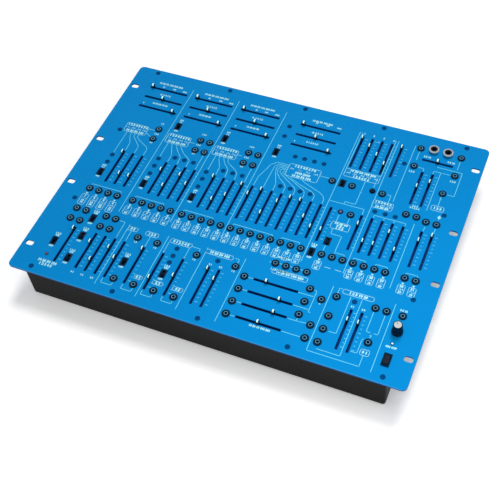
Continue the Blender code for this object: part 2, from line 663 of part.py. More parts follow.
def build_rear_socket_board():
    """The board on the tub's floor whose plug sockets look out of the far wall."""
    wall_inside = TUB_DEPTH / 2 - TUB_SHEET
    wall_outside = TUB_DEPTH / 2
    far = wall_inside - SEAT_GAP
    top = SOCKET_BOARD_TOP
    board_centre = Vector((SOCKET_BOARD_FROM_CENTRE, far - SOCKET_BOARD_DEPTH / 2, 0))
    bm = bmesh.new()
    add_box(bm, SOCKET_BOARD_WIDTH, SOCKET_BOARD_DEPTH, top - BOARD_THICKNESS, top, board_centre)
    board = make_object("rear_socket_board", bm, parts, board_green)

    bm = bmesh.new()
    seat = top - FUSE_DEPTH
    for x in din_places():
        body = Vector((x, far - DIN_BODY_DEPTH / 2, 0))
        add_box(bm, DIN_BODY_WIDTH, DIN_BODY_DEPTH, seat, top + DIN_BODY_HEIGHT, body)
    for x, width, depth, height in (
        (from_board_end(USB_FROM_BOARD_END), USB_BODY_WIDTH, USB_BODY_DEPTH, USB_BODY_HEIGHT),
        (from_board_end(DC_FROM_BOARD_END), DC_BODY_WIDTH, DC_BODY_DEPTH, DC_BODY_HEIGHT),
    ):
        body = Vector((x, wall_outside - depth / 2, 0))
        add_box(bm, width, depth, seat, top + height, body)
    for side in (-1, 1):
        for end in (-1, 1):
            reach = Vector((SOCKET_BOARD_WIDTH / 2, SOCKET_BOARD_DEPTH / 2, 0))
            inset = 2 * STANDOFF_RADIUS
            spot = board_centre + Vector((side * (reach.x - inset), end * (reach.y - inset), 0))
            add_cylinder(
                bm, STANDOFF_RADIUS, FLOOR_TOP + SEAT_GAP, top - BOARD_THICKNESS + FUSE_DEPTH, STANDOFF_SIDES, spot
            )
    combine(board, make_cutter("socket_board_bodies", bm), "UNION")

    bm = bmesh.new()
    for x in din_places():
        add_far_facing_cylinder(
            bm, DIN_NOSE_RADIUS, far - FUSE_DEPTH, wall_outside, DIN_SIDES, x, din_height()
        )
    combine(board, make_cutter("socket_board_noses", bm), "UNION")

    bm = bmesh.new()
    outside = wall_outside + CUT_OVERRUN
    for x in din_places():
        add_far_facing_cylinder(
            bm, DIN_RING_RADIUS, wall_outside - DIN_RING_DEPTH, outside, DIN_SIDES, x, din_height()
        )
    depth = USB_MOUTH_DEPTH + CUT_OVERRUN
    mouth = Vector((from_board_end(USB_FROM_BOARD_END), outside - depth / 2, 0))
    middle = top + USB_BODY_HEIGHT / 2
    add_box(bm, USB_MOUTH_WIDTH, depth, middle - USB_MOUTH_HEIGHT / 2, middle + USB_MOUTH_HEIGHT / 2, mouth)
    dc_middle = top + DC_BODY_HEIGHT / 2
    dc_x = from_board_end(DC_FROM_BOARD_END)
    add_far_facing_cylinder(
        bm, DC_MOUTH_RADIUS, wall_outside - DC_MOUTH_DEPTH, outside, DC_SIDES, dc_x, dc_middle
    )
    combine(board, make_cutter("socket_board_mouths", bm), "DIFFERENCE")

    bm = bmesh.new()
    inside = wall_outside - DIN_RING_DEPTH - FUSE_DEPTH
    for x in din_places():
        add_far_facing_cylinder(bm, DIN_CORE_RADIUS, inside, wall_outside, DIN_SIDES, x, din_height())
    depth = USB_MOUTH_DEPTH + FUSE_DEPTH
    tongue = Vector((from_board_end(USB_FROM_BOARD_END), wall_outside - SEAT_GAP - depth / 2, 0))
    add_box(bm, USB_TONGUE_WIDTH, depth, middle - USB_TONGUE_HEIGHT / 2, middle + USB_TONGUE_HEIGHT / 2, tongue)
    inside = wall_outside - DC_MOUTH_DEPTH - FUSE_DEPTH
    add_far_facing_cylinder(
        bm, DC_PIN_RADIUS, inside, wall_outside - SEAT_GAP, DC_PIN_SIDES, dc_x, dc_middle
    )
    combine(board, make_cutter("socket_board_contacts", bm), "UNION")
    return board


def build_reverb_tank():
    """The open tray on the tub's floor, with a transducer at each end and the springs between them."""
    centre = Vector((TANK_FROM_CENTRE_X, TANK_FROM_CENTRE_Y, 0))
    base = FLOOR_TOP + SEAT_GAP
    bm = bmesh.new()
    add_box(bm, TANK_LENGTH, TANK_WIDTH, base, base + TANK_HEIGHT, centre)
    tank = make_object("reverb_tank", bm, parts, tank_steel)

    bm = bmesh.new()
    inner = (TANK_LENGTH - 2 * TANK_SHEET, TANK_WIDTH - 2 * TANK_SHEET)
    add_box(bm, *inner, base + TANK_SHEET, base + TANK_HEIGHT + CUT_OVERRUN, centre)
    combine(tank, make_cutter("tank_inside", bm), "DIFFERENCE")

    bm = bmesh.new()
    floor = base + TANK_SHEET - FUSE_DEPTH
    reach = (TANK_LENGTH - TRANSDUCER_LENGTH) / 2 - 2 * TANK_SHEET
    for side in (-1, 1):
        spot = centre + Vector((side * reach, 0, 0))
        add_box(bm, TRANSDUCER_LENGTH, TRANSDUCER_WIDTH, floor, floor + TRANSDUCER_HEIGHT, spot)
    combine(tank, make_cutter("tank_transducers", bm), "UNION")

    bm = bmesh.new()
    span = 2 * reach - TRANSDUCER_LENGTH + 2 * FUSE_DEPTH
    for index in range(SPRING_COUNT):
        y = centre.y + (index - (SPRING_COUNT - 1) / 2) * SPRING_PITCH
        bmesh.ops.create_cone(
            bm,
            cap_ends=True,
            segments=SPRING_SIDES,
            radius1=SPRING_RADIUS,
            radius2=SPRING_RADIUS,
            depth=span,
            matrix=Matrix.Translation((centre.x, y, floor + TRANSDUCER_HEIGHT / 2))
            @ Matrix.Rotation(math.pi / 2, 4, "Y"),
        )
    combine(tank, make_cutter("tank_springs", bm), "UNION")
    return tank


def cap_levels(direction, foot):
    """A lever and its cap, from the height foot up to the cap's tip."""
    lever = plan_size(LEVER_ALONG, LEVER_ACROSS, direction)
    cap = plan_size(CAP_ALONG, CAP_ACROSS, direction)
    tip = plan_size(CAP_TIP_ALONG, CAP_TIP_ACROSS, direction)
    return [
        (*lever, foot),
        (*lever, PANEL_TOP + CAP_LIFT),
        (*cap, PANEL_TOP + CAP_LIFT + CAP_UNDERCUT),
        (*tip, PANEL_TOP + CAP_LIFT + CAP_UNDERCUT + CAP_HEIGHT),
    ]


def on_board(spot, near, far):
    return near < spot.y < far


def build_control_board(name, near, far):
    """A board with the bodies of all sockets, faders, switches and lamps that lie between two seams."""
    bm = bmesh.new()
    centre = Vector((0, (near + far) / 2, 0))
    add_box(bm, BOARD_WIDTH, far - near, BOARD_TOP - BOARD_THICKNESS, BOARD_TOP, centre)
    board = make_object(name, bm, parts, board_green)
    seat = BOARD_TOP - FUSE_DEPTH
    bezel_top = PANEL_TOP - SEAT_GAP

    bm = bmesh.new()
    for spot in socket_places():
        if on_board(spot, near, far):
            add_box(bm, SOCKET_BODY_WIDTH, SOCKET_BODY_LENGTH, seat, SOCKET_BODY_TOP, spot)
    for spot, direction, travel in fader_places():
        if on_board(spot, near, far):
            size = plan_size(travel + FADER_BODY_OVER_TRAVEL, FADER_BODY_WIDTH, direction)
            add_box(bm, *size, seat, FADER_BODY_TOP, spot)
    for _, column, row, _ in SWITCH_SHARES:
        spot = place(column, row)
        if on_board(spot, near, far):
            bezel = (SWITCH_BEZEL_WIDTH, SWITCH_BEZEL_LENGTH)
            body = (bezel[0] + 2 * SWITCH_SHOULDER, bezel[1] + 2 * SWITCH_SHOULDER)
            levels = [(*body, seat), (*body, SOCKET_BODY_TOP), (*bezel, SOCKET_BODY_TOP), (*bezel, bezel_top)]
            add_stack(bm, levels, spot)
    for column, row in LAMP_SHARES:
        spot = place(column, row)
        if on_board(spot, near, far):
            add_cylinder(bm, LAMP_RADIUS, seat, PANEL_TOP + LAMP_PROUD, LAMP_SIDES, spot, LAMP_DOME_RADIUS)
    if on_board(place(*KNOB_SHARES), near, far):
        add_box(bm, POT_BODY_WIDTH, POT_BODY_WIDTH, seat, BOARD_TOP + POT_BODY_HEIGHT, place(*KNOB_SHARES))
    if on_board(place(*BUTTON_SHARES), near, far):
        add_box(
            bm, BUTTON_BODY_WIDTH, BUTTON_BODY_WIDTH, seat, BOARD_TOP + BUTTON_BODY_HEIGHT, place(*BUTTON_SHARES)
        )
    combine(board, make_cutter(name + "_bodies", bm), "UNION", overlapping=True)

    fixed = [
        (place(column, row), setting)
        for column, row, setting in FIXED_SLIDER_SHARES
        if on_board(place(column, row), near, far)
    ]
    if fixed:
        bm = bmesh.new()
        for spot, setting in fixed:
            spot = spot + travel_direction(UP_THE_PANEL) * setting * UPRIGHT_TRAVEL / 4
            add_stack(bm, cap_levels(UP_THE_PANEL, FADER_BODY_TOP - FUSE_DEPTH), spot)
        combine(board, make_cutter(name + "_levers", bm), "UNION")

    bm = bmesh.new()
    for _, column, row, _ in SWITCH_SHARES:
        spot = place(column, row)
        if on_board(spot, near, far):
            low = bezel_top - SWITCH_CHANNEL_DEPTH
            add_box(bm, SWITCH_CHANNEL_WIDTH, SWITCH_CHANNEL_LENGTH, low, bezel_top + CUT_OVERRUN, spot)
    low = BOARD_TOP - BOARD_THICKNESS - CUT_OVERRUN
    for _, column, row in OUTPUT_SOCKET_SHARES:
        if on_board(place(column, row), near, far):
            window = (OUTPUT_BODY_WIDTH + 2 * SEAT_GAP, OUTPUT_BODY_DEPTH + 2 * SEAT_GAP)
            add_box(bm, *window, low, BOARD_TOP + CUT_OVERRUN, place(column, row))
    spot = place(*ROCKER_SHARES)
    if on_board(spot, near, far):
        notch_left = spot.x - ROCKER_BODY_WIDTH / 2 - SEAT_GAP
        notch_width = BOARD_WIDTH / 2 + CUT_OVERRUN - notch_left
        notch_depth = ROCKER_BODY_LENGTH + 2 * SEAT_GAP
        notch_centre = Vector((notch_left + notch_width / 2, spot.y, 0))
        add_box(bm, notch_width, notch_depth, low, BOARD_TOP + CUT_OVERRUN, notch_centre)
    combine(board, make_cutter(name + "_cutouts", bm), "DIFFERENCE")
    return board


def build_output_socket(name, spot):
    """A quarter-inch socket: its body under the panel, its threaded bushing and its round nut."""
    bm = bmesh.new()
    body_top = SOCKET_BODY_TOP
    add_box(bm, OUTPUT_BODY_WIDTH, OUTPUT_BODY_DEPTH, body_top - OUTPUT_BODY_HEIGHT, body_top, spot)
    socket = make_object(name, bm, parts, chrome)

    nut_low = PANEL_TOP + SEAT_GAP
    nut_high = nut_low + OUTPUT_NUT_HEIGHT
    bm = bmesh.new()
    add_cylinder(bm, OUTPUT_BUSHING_RADIUS, body_top - FUSE_DEPTH, nut_low + FUSE_DEPTH, OUTPUT_SIDES, spot)
    combine(socket, make_cutter(name + "_bushing", bm), "UNION")

    bm = bmesh.new()
    add_cylinder(bm, OUTPUT_NUT_RADIUS, nut_low, nut_high, OUTPUT_SIDES, spot)
    combine(socket, make_cutter(name + "_nut", bm), "UNION")

    bm = bmesh.new()
    bottom = body_top - OUTPUT_BODY_HEIGHT + OUTPUT_BODY_FLOOR
    add_cylinder(bm, OUTPUT_BORE_RADIUS, bottom, nut_high + CUT_OVERRUN, OUTPUT_SIDES, spot)
    combine(socket, make_cutter(name + "_bore", bm), "DIFFERENCE")
    return socket


def build_sliders():
    """Each moving lever with the carriage under the panel and the cap above it."""
    across = [(*row, ACROSS_THE_PANEL, ACROSS_TRAVEL) for row in ACROSS_SLIDER_SHARES]
    across.append((*PAN_SLIDER_SHARES, ACROSS_THE_PANEL, PAN_TRAVEL))
    upright = [(*row, UP_THE_PANEL, UPRIGHT_TRAVEL) for row in UPRIGHT_SLIDER_SHARES]
    meshes = {}
    for direction in (ACROSS_THE_PANEL, UP_THE_PANEL):
        bm = bmesh.new()
        carriage = plan_size(CARRIAGE_ALONG, CARRIAGE_ACROSS, direction)
        add_stack(
            bm, [(*carriage, CARRIAGE_BASE), (*carriage, CARRIAGE_TOP), *cap_levels(direction, CARRIAGE_TOP)]
        )
        bmesh.ops.translate(bm, verts=bm.verts[:], vec=(0, 0, -PANEL_TOP))
        bmesh.ops.recalc_face_normals(bm, faces=bm.faces[:])
        meshes[direction] = bpy.data.meshes.new("slider_" + direction)
        bm.to_mesh(meshes[direction])
        bm.free()
        meshes[direction].materials.append(control_black)
    for name, column, row, setting, direction, travel in across + upright:
        slider = bpy.data.objects.new(name, meshes[direction])
        parts.objects.link(slider)
        shift = travel_direction(direction) * setting * travel / 4
        slider.location = place(column, row) + shift + Vector((0, 0, PANEL_TOP))


def build_switch_levers():
    """Each slide switch's moving button, seated in the channel of its body."""
    channel_floor = -SEAT_GAP - SWITCH_CHANNEL_DEPTH
    bm = bmesh.new()
    levels = [
        (SWITCH_LEVER_WIDTH, SWITCH_LEVER_LENGTH, channel_floor + SEAT_GAP),
        (SWITCH_LEVER_WIDTH, SWITCH_LEVER_LENGTH, 0),
        (SWITCH_LEVER_WIDTH, SWITCH_LEVER_TIP_LENGTH, SWITCH_LEVER_PROUD),
    ]
    add_stack(bm, levels)
    bmesh.ops.recalc_face_normals(bm, faces=bm.faces[:])
    mesh = bpy.data.meshes.new("switch_lever")
    bm.to_mesh(mesh)
    bm.free()
    mesh.materials.append(control_black)
    for name, column, row, setting in SWITCH_SHARES:
        lever = bpy.data.objects.new(name, mesh)
        parts.objects.link(lever)
        lever.location = place(column, row) + Vector((0, setting * SWITCH_TRAVEL / 2, PANEL_TOP))


def build_knob():
    """The turned knob and its shaft, with the origin on its axis at the panel's face."""
    shaft_end = BOARD_TOP + POT_BODY_HEIGHT + SEAT_GAP - PANEL_TOP
    profile = [
        (0, KNOB_HEIGHT),
        (KNOB_TOP_RADIUS - KNOB_EDGE, KNOB_HEIGHT),
        (KNOB_TOP_RADIUS, KNOB_HEIGHT - KNOB_EDGE),
        (KNOB_WAIST_RADIUS, KNOB_SKIRT_HEIGHT),
        (KNOB_RADIUS, KNOB_SKIRT_HEIGHT - KNOB_EDGE),
        (KNOB_RADIUS, KNOB_LIFT),
        (KNOB_SHAFT_RADIUS, KNOB_LIFT),
        (KNOB_SHAFT_RADIUS, shaft_end),
        (0, shaft_end),
    ]
    mesh = bpy.data.meshes.new("phones_level_knob")
    edges = [(index, index + 1) for index in range(len(profile) - 1)]
    mesh.from_pydata([(radius, 0, height) for radius, height in profile], edges, [])
    mesh.materials.append(control_black)
    knob = bpy.data.objects.new("phones_level_knob", mesh)
    parts.objects.link(knob)
    knob.location = place(*KNOB_SHARES) + Vector((0, 0, PANEL_TOP))
    turned = knob.modifiers.new("turned", "SCREW")
    turned.steps = KNOB_SIDES
    turned.render_steps = KNOB_SIDES
    turned.use_merge_vertices = True
    turned.merge_threshold = MERGE_DISTANCE
    return knob


def build_power_switch():
    """The frame that clips into the panel and the rocker that tips in its pocket."""
    spot = place(*ROCKER_SHARES)
    body_top = PANEL_TOP + SEAT_GAP
    frame_top = body_top + ROCKER_FRAME_PROUD
    frame_width = ROCKER_BODY_WIDTH + 2 * ROCKER_SIDE_RIM
    frame_length = ROCKER_BODY_LENGTH + 2 * ROCKER_END_RIM
    bm = bmesh.new()
    levels = [
        (ROCKER_BODY_WIDTH, ROCKER_BODY_LENGTH, body_top - ROCKER_BODY_HEIGHT),
        (ROCKER_BODY_WIDTH, ROCKER_BODY_LENGTH, body_top),
        (frame_width, frame_length, body_top),
        (frame_width, frame_length, frame_top),
    ]
    add_stack(bm, levels, spot)
    frame = make_object("power_switch_frame", bm, parts, control_black)

    bm = bmesh.new()
    pivot_height = PANEL_TOP - ROCKER_PIVOT_DROP
    pocket_floor = pivot_height - ROCKER_POCKET_DEPTH
    add_box(bm, ROCKER_POCKET_WIDTH, ROCKER_POCKET_LENGTH, pocket_floor, frame_top + CUT_OVERRUN, spot)
    combine(frame, make_cutter("power_switch_pocket", bm), "DIFFERENCE")

    outline = (
        (-ROCKER_HALF_LENGTH, ROCKER_END_HEIGHT),
        (0, ROCKER_MIDDLE_HEIGHT),
        (ROCKER_HALF_LENGTH, ROCKER_END_HEIGHT),
        (ROCKER_HALF_LENGTH, 0),
        (ROCKER_KEEL_HALF_LENGTH, -ROCKER_KEEL_DEPTH),
        (-ROCKER_KEEL_HALF_LENGTH, -ROCKER_KEEL_DEPTH),
        (-ROCKER_HALF_LENGTH, 0),
    )
    bm = bmesh.new()
    side = bm.faces.new([bm.verts.new((-ROCKER_WIDTH / 2, y, z)) for y, z in outline])
    grown = bmesh.ops.extrude_face_region(bm, geom=[side])["geom"]
    moved = [item for item in grown if isinstance(item, bmesh.types.BMVert)]
    bmesh.ops.translate(bm, verts=moved, vec=(ROCKER_WIDTH, 0, 0))
    bmesh.ops.rotate(bm, verts=bm.verts[:], cent=(0, 0, 0), matrix=Matrix.Rotation(ROCKER_SWING / 2, 3, "X"))
    rocker = make_object("power_rocker", bm, parts, control_black)
    rocker.location = spot + Vector((0, 0, pivot_height))
    return frame, rocker


def build_gate_button():
    """The round push button, held under the panel by its flange."""
    flange_high = PANEL_UNDERSIDE - SEAT_GAP - PANEL_TOP
    flange_low = flange_high - BUTTON_FLANGE_THICKNESS
    stem_low = BOARD_TOP + BUTTON_BODY_HEIGHT + SEAT_GAP + BUTTON_TRAVEL - PANEL_TOP
    bm = bmesh.new()
    add_cylinder(bm, BUTTON_RADIUS, stem_low, BUTTON_PROUD, BUTTON_SIDES)
    button = make_object("manual_gate_button", bm, parts, control_black)
    button.location = place(*BUTTON_SHARES) + Vector((0, 0, PANEL_TOP))

    bm = bmesh.new()
    add_cylinder(bm, BUTTON_RADIUS + BUTTON_FLANGE_WIDTH, flange_low, flange_high, BUTTON_SIDES)
    flange = make_cutter("gate_button_flange", bm)
    flange.location = button.location
    combine(button, flange, "UNION")
    return button


clear_scene()
parts = make_collection("analog_synthesizer")
cutters = make_collection("cutters")

panel_blue = make_material("panel_blue", (0.02, 0.26, 0.72), 0.35, 0.0)
tub_black = make_material("tub_black", (0.02, 0.02, 0.022), 0.45, 0.0)
control_black = make_material("control_black", (0.015, 0.015, 0.016), 0.4, 0.0)
board_green = make_material("board_green", (0.01, 0.12, 0.05), 0.5, 0.0)
tank_steel = make_material("tank_steel", (0.5, 0.5, 0.52), 0.4, 0.9)
chrome = make_material("chrome", (0.75, 0.76, 0.78), 0.15, 1.0)

build_front_panel()
build_rear_tub()
far_seam = BOARD_FAR_SEAM_SHARE * GRID_ROW
near_seam = BOARD_NEAR_SEAM_SHARE * GRID_ROW
seam_side = BOARD_SEAM_GAP / 2
build_control_board("upper_control_board", far_seam + seam_side, BOARD_FAR_EDGE_SHARE * GRID_ROW)
build_control_board("middle_control_board", near_seam + seam_side, far_seam - seam_side)
build_control_board("lower_control_board", BOARD_NEAR_EDGE_SHARE * GRID_ROW, near_seam - seam_side)
build_rear_socket_board()
build_reverb_tank()
for socket_name, socket_column, socket_row in OUTPUT_SOCKET_SHARES:
    build_output_socket(socket_name, place(socket_column, socket_row))
build_power_switch()
build_sliders()
build_switch_levers()
build_knob()
build_gate_button()
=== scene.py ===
"""Looks for an analog synthesizer: a blue rack panel of slide controls and patch sockets on a black tub.

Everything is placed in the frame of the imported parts: metres, +Z up out of the panel, +Y to its far edge.
"""

import itertools
import math

import bmesh
import bpy
from mathutils import Matrix, Vector


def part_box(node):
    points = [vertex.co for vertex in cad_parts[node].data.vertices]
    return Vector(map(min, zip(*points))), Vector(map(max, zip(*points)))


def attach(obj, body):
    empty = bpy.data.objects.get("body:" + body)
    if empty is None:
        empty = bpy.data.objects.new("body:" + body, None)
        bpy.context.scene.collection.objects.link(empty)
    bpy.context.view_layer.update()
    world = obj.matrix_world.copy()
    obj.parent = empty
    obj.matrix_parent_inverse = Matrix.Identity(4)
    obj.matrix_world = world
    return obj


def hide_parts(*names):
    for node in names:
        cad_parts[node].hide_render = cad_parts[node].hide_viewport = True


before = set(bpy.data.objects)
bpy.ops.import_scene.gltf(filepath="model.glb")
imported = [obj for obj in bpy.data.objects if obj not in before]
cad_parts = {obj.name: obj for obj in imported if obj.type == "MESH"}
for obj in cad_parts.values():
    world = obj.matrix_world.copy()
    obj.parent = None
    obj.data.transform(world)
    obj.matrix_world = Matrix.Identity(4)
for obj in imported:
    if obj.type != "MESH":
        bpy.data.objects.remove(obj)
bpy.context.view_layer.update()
scene = bpy.context.scene
MM = 0.001


# Camera
# The photograph is taken from above the near right corner, a bit over a metre away, with a long lens.
# Its place comes from the panel's four corners in the picture.
CAMERA_PLACE = Vector((0.3256, -0.6389, 0.9231))
CAMERA_RIGHT = Vector((0.9268, 0.3714, -0.0559)).normalized()
CAMERA_BACK = Vector((0.2635, -0.5371, 0.8013)).normalized()
SENSOR_WIDTH = 36
FOCAL_LENGTH = 67.716
SHIFT_ACROSS = -0.037
SHIFT_UP = -0.0034

camera_data = bpy.data.cameras.new("camera")
camera_data.sensor_width = SENSOR_WIDTH
camera_data.lens = FOCAL_LENGTH
camera_data.shift_x = SHIFT_ACROSS
camera_data.shift_y = SHIFT_UP
camera = bpy.data.objects.new("camera", camera_data)
camera_up = CAMERA_BACK.cross(CAMERA_RIGHT).normalized()
camera_turn = Matrix((CAMERA_RIGHT, camera_up, CAMERA_RIGHT.cross(camera_up))).transposed()
camera.matrix_world = Matrix.Translation(CAMERA_PLACE) @ camera_turn.to_4x4()
scene.collection.objects.link(camera)
scene.camera = camera


# Floor and light
# A white paper sweep under soft studio light: an even white room, a wide lamp beyond the far edge that
# leaves a short soft shadow along the near wall of the tub, and a softbox over the near right that fades
# to the left.
ROOM_LIGHT = 0.32
LAMP_SHARE = 0.44
LAMP_DIRECTION = Vector((0.0, 0.50, 1.0)).normalized()
LAMP_SPREAD = math.radians(20)
SOFTBOX_PLACE = Vector((0.23, -0.15, 0.46))
SOFTBOX_SIZE = 0.30
SOFTBOX_REACH = 0.42
SOFTBOX_SHARE = 0.40
FLOOR_SIZE = 6.0
FLOOR_WHITE = (0.94, 0.94, 0.94, 1)
FLOOR_ROUGHNESS = 0.9
FLOOR_GLOW = 0.33
WHITE = (1, 1, 1, 1)


def add_lamp(name, kind, energy, matrix):
    """A lamp that lights the object but leaves no hot spot on its gloss."""
    data = bpy.data.lights.new(name, kind)
    data.energy = energy
    lamp = bpy.data.objects.new(name, data)
    lamp.matrix_world = matrix
    lamp.visible_glossy = False
    scene.collection.objects.link(lamp)
    return data


def see_white(tree, low, high):
    """A strength that is low for the light on the object, and high where a camera or a mirror sees it."""
    path = tree.nodes.new("ShaderNodeLightPath")
    seen = path.outputs["Is Camera Ray"]
    for ray in ("Is Glossy Ray", "Is Transmission Ray"):
        either = tree.nodes.new("ShaderNodeMath")
        either.operation = "MAXIMUM"
        tree.links.new(seen, either.inputs[0])
        tree.links.new(path.outputs[ray], either.inputs[1])
        seen = either.outputs[0]
    strength = tree.nodes.new("ShaderNodeMapRange")
    strength.inputs["To Min"].default_value = low
    strength.inputs["To Max"].default_value = high
    tree.links.new(seen, strength.inputs["Value"])
    return strength.outputs["Result"]


scene.view_settings.view_transform = "Standard"
world = bpy.data.worlds.new("studio")
world.use_nodes = True
scene.world = world
room = world.node_tree.nodes["Background"]
room.inputs["Color"].default_value = WHITE
world.node_tree.links.new(see_white(world.node_tree, ROOM_LIGHT, 1.0), room.inputs["Strength"])

lamp_turn = LAMP_DIRECTION.to_track_quat("Z", "Y").to_matrix().to_4x4()
wide_lamp = add_lamp("wide_lamp", "SUN", LAMP_SHARE * math.pi / LAMP_DIRECTION.z, lamp_turn)
wide_lamp.angle = LAMP_SPREAD
softbox_power = SOFTBOX_SHARE * math.pi**2 * SOFTBOX_REACH**2
softbox = add_lamp("softbox", "AREA", softbox_power, Matrix.Translation(SOFTBOX_PLACE))
softbox.shape = "DISK"
softbox.size = SOFTBOX_SIZE

bm = bmesh.new()
bmesh.ops.create_grid(bm, x_segments=1, y_segments=1, size=FLOOR_SIZE / 2)
floor_mesh = bpy.data.meshes.new("floor")
bm.to_mesh(floor_mesh)
bm.free()
floor = bpy.data.objects.new("floor", floor_mesh)
scene.collection.objects.link(floor)
paper = bpy.data.materials.new("paper")
paper.use_nodes = True
paper_shader = paper.node_tree.nodes["Principled BSDF"]
paper_shader.inputs["Base Color"].default_value = FLOOR_WHITE
paper_shader.inputs["Roughness"].default_value = FLOOR_ROUGHNESS
paper_shader.inputs["Specular IOR Level"].default_value = 0.0
paper_shader.inputs["Emission Color"].default_value = WHITE
paper_glow = see_white(paper.node_tree, 0.0, FLOOR_GLOW)
paper.node_tree.links.new(paper_glow, paper_shader.inputs["Emission Strength"])
floor_mesh.materials.append(paper)


# Front panel
# A flat plate of 2 mm steel with rounded corners, sprayed and baked in a smooth azure blue. Its cut edges
# and slot walls carry painted shade, and its near edge a painted highlight. The nuts of the patch sockets
# are one solid with the plate, and black.
PANEL_TOP = 49.6 * MM
PANEL_UNDERSIDE = 47.6 * MM
NEAR_EDGE = -177.4 * MM
EDGE_HIGHLIGHT_REACH = 1.3 * MM
PANEL_BLUE = (0.0010, 0.256, 0.660, 1)
PANEL_BLUE_PALE = (0.0014, 0.268, 0.682, 1)
CUT_EDGE_PAINTED_SHADE = (0.001, 0.085, 0.390, 1)
PAINTED_EDGE_HIGHLIGHT = (0.10, 0.42, 0.74, 1)
BLACK_PLASTIC = (0.001, 0.012, 0.034, 1)


class Wire:
    """An output of a finish's nodes. A sum or a product of wires adds the Math node that works it out."""

    def __init__(self, finish, socket):
        self.finish = finish
        self.socket = socket

    def part(self, name):
        """Another output of the same node."""
        return Wire(self.finish, self.socket.node.outputs[name])

    def math(self, operation, other=0.0):
        return self.finish.add("ShaderNodeMath", {"operation": operation}, {0: self, 1: other})

    def __add__(self, other):
        return self.math("ADD", other)

    def __sub__(self, other):
        return self.math("SUBTRACT", other)

    def __mul__(self, other):
        return self.math("MULTIPLY", other)

    __rmul__ = __mul__

    def __gt__(self, other):
        return self.math("GREATER_THAN", other)

    def __lt__(self, other):
        return self.math("LESS_THAN", other)


class Finish:
    """A material, whose nodes are added one by one and end on its shader."""

    def __init__(self, name, roughness=0.5, metallic=0.0, specular=0.5):
        self.material = bpy.data.materials.new(name)
        self.material.use_nodes = True
        self.tree = self.material.node_tree
        self.shader = self.tree.nodes["Principled BSDF"]
        self.shader.inputs["Roughness"].default_value = roughness
        self.shader.inputs["Metallic"].default_value = metallic
        self.shader.inputs["Specular IOR Level"].default_value = specular
        self.place = self.add("ShaderNodeTexCoord").part("Object")
        self.x = self.add("ShaderNodeSeparateXYZ", {}, {0: self.place})
        self.y = self.x.part("Y")
        self.z = self.x.part("Z")

    def add(self, kind, settings=None, sockets=None):
        """A node of any kind, with its settings, and with the values or wires of its sockets."""
        node = self.tree.nodes.new(kind)
        for name, value in (settings or {}).items():
            setattr(node, name, value)
        for name, value in (sockets or {}).items():
            if isinstance(value, Wire):
                self.tree.links.new(value.socket, node.inputs[name])
            else:
                node.inputs[name].default_value = value
        return Wire(self, node.outputs[0])

    def noise(self, scale, detail=2.0):
        return self.add("ShaderNodeTexNoise", {}, {"Vector": self.place, "Scale": scale, "Detail": detail})

    def mix(self, factor, first, second):
        """A colour between two others."""
        return self.add("ShaderNodeMix", {"data_type": "RGBA"}, {0: factor, 6: first, 7: second}).part(2)

    def fade(self, value, low, high, start=0.0, end=1.0):
        """A value that runs smoothly from start to end while another goes from low to high."""
        return self.add(
            "ShaderNodeMapRange",
            {"interpolation_type": "SMOOTHSTEP"},
            {"Value": value, "From Min": low, "From Max": high, "To Min": start, "To Max": end},
        )

    def from_axis(self, x, y):
        """The distance from an upright axis."""
        arm = self.add("ShaderNodeCombineXYZ", {}, {0: self.x - x, 1: self.y - y})
        return self.add("ShaderNodeVectorMath", {"operation": "LENGTH"}, {0: arm}).part("Value")

    def mottle(self, scale, first, second, *limits):
        """Sets a colour that wanders between two others with noise, or with noise faded between limits."""
        factor = self.noise(scale)
        if limits:
            factor = self.fade(factor, *limits)
        self.set("Base Color", self.mix(factor, first, second))

    def grain(self, scale, smooth, rough):
        """Sets a roughness that wanders between two values."""
        self.set("Roughness", self.fade(self.noise(scale), 0.3, 0.7, smooth, rough))

    def bump(self, height, depth):
        self.set("Normal", self.add("ShaderNodeBump", {}, {"Distance": depth, "Height": height}))

    def set(self, name, value):
        if isinstance(value, Wire):
            self.tree.links.new(value.socket, self.shader.inputs[name])
        else:
            self.shader.inputs[name].default_value = value


def dress(node, finish):
    """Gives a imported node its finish."""
    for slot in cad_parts[node].material_slots:
        slot.material = finish.material


paint = Finish("azure_paint", roughness=0.3, specular=0.06)
cloud = paint.noise(9.0, 3.0)
face_colour = paint.mix(paint.fade(cloud, 0.3, 0.7), PANEL_BLUE, PANEL_BLUE_PALE)
# A painted highlight: the face turns paler along its near edge, fading out over 1.3 mm.
near_edge_highlight = paint.fade(paint.y, NEAR_EDGE, NEAR_EDGE + EDGE_HIGHLIGHT_REACH, 0.45, 0.0)
face_colour = paint.mix(near_edge_highlight, face_colour, PAINTED_EDGE_HIGHLIGHT)
# Painted shade: the cut edges and the walls of the slots, inside the sheet, are painted a darker blue.
cut_edge_shade = (paint.z > PANEL_UNDERSIDE + 0.1 * MM) * (paint.z < PANEL_TOP - 0.1 * MM)
face_colour = paint.mix(cut_edge_shade, face_colour, CUT_EDGE_PAINTED_SHADE)
above_face = paint.z > PANEL_TOP + 0.06 * MM
paint.set("Base Color", paint.mix(above_face, face_colour, BLACK_PLASTIC))
orange_peel = paint.noise(700.0, 2.0) + 0.4 * paint.noise(2600.0, 1.0)
paint.set("Roughness", paint.fade(paint.noise(160.0, 3.0), 0.35, 0.65, 0.26, 0.34) + above_face * 0.1)
paint.bump(orange_peel, 0.006 * MM)
dress("front_panel", paint)


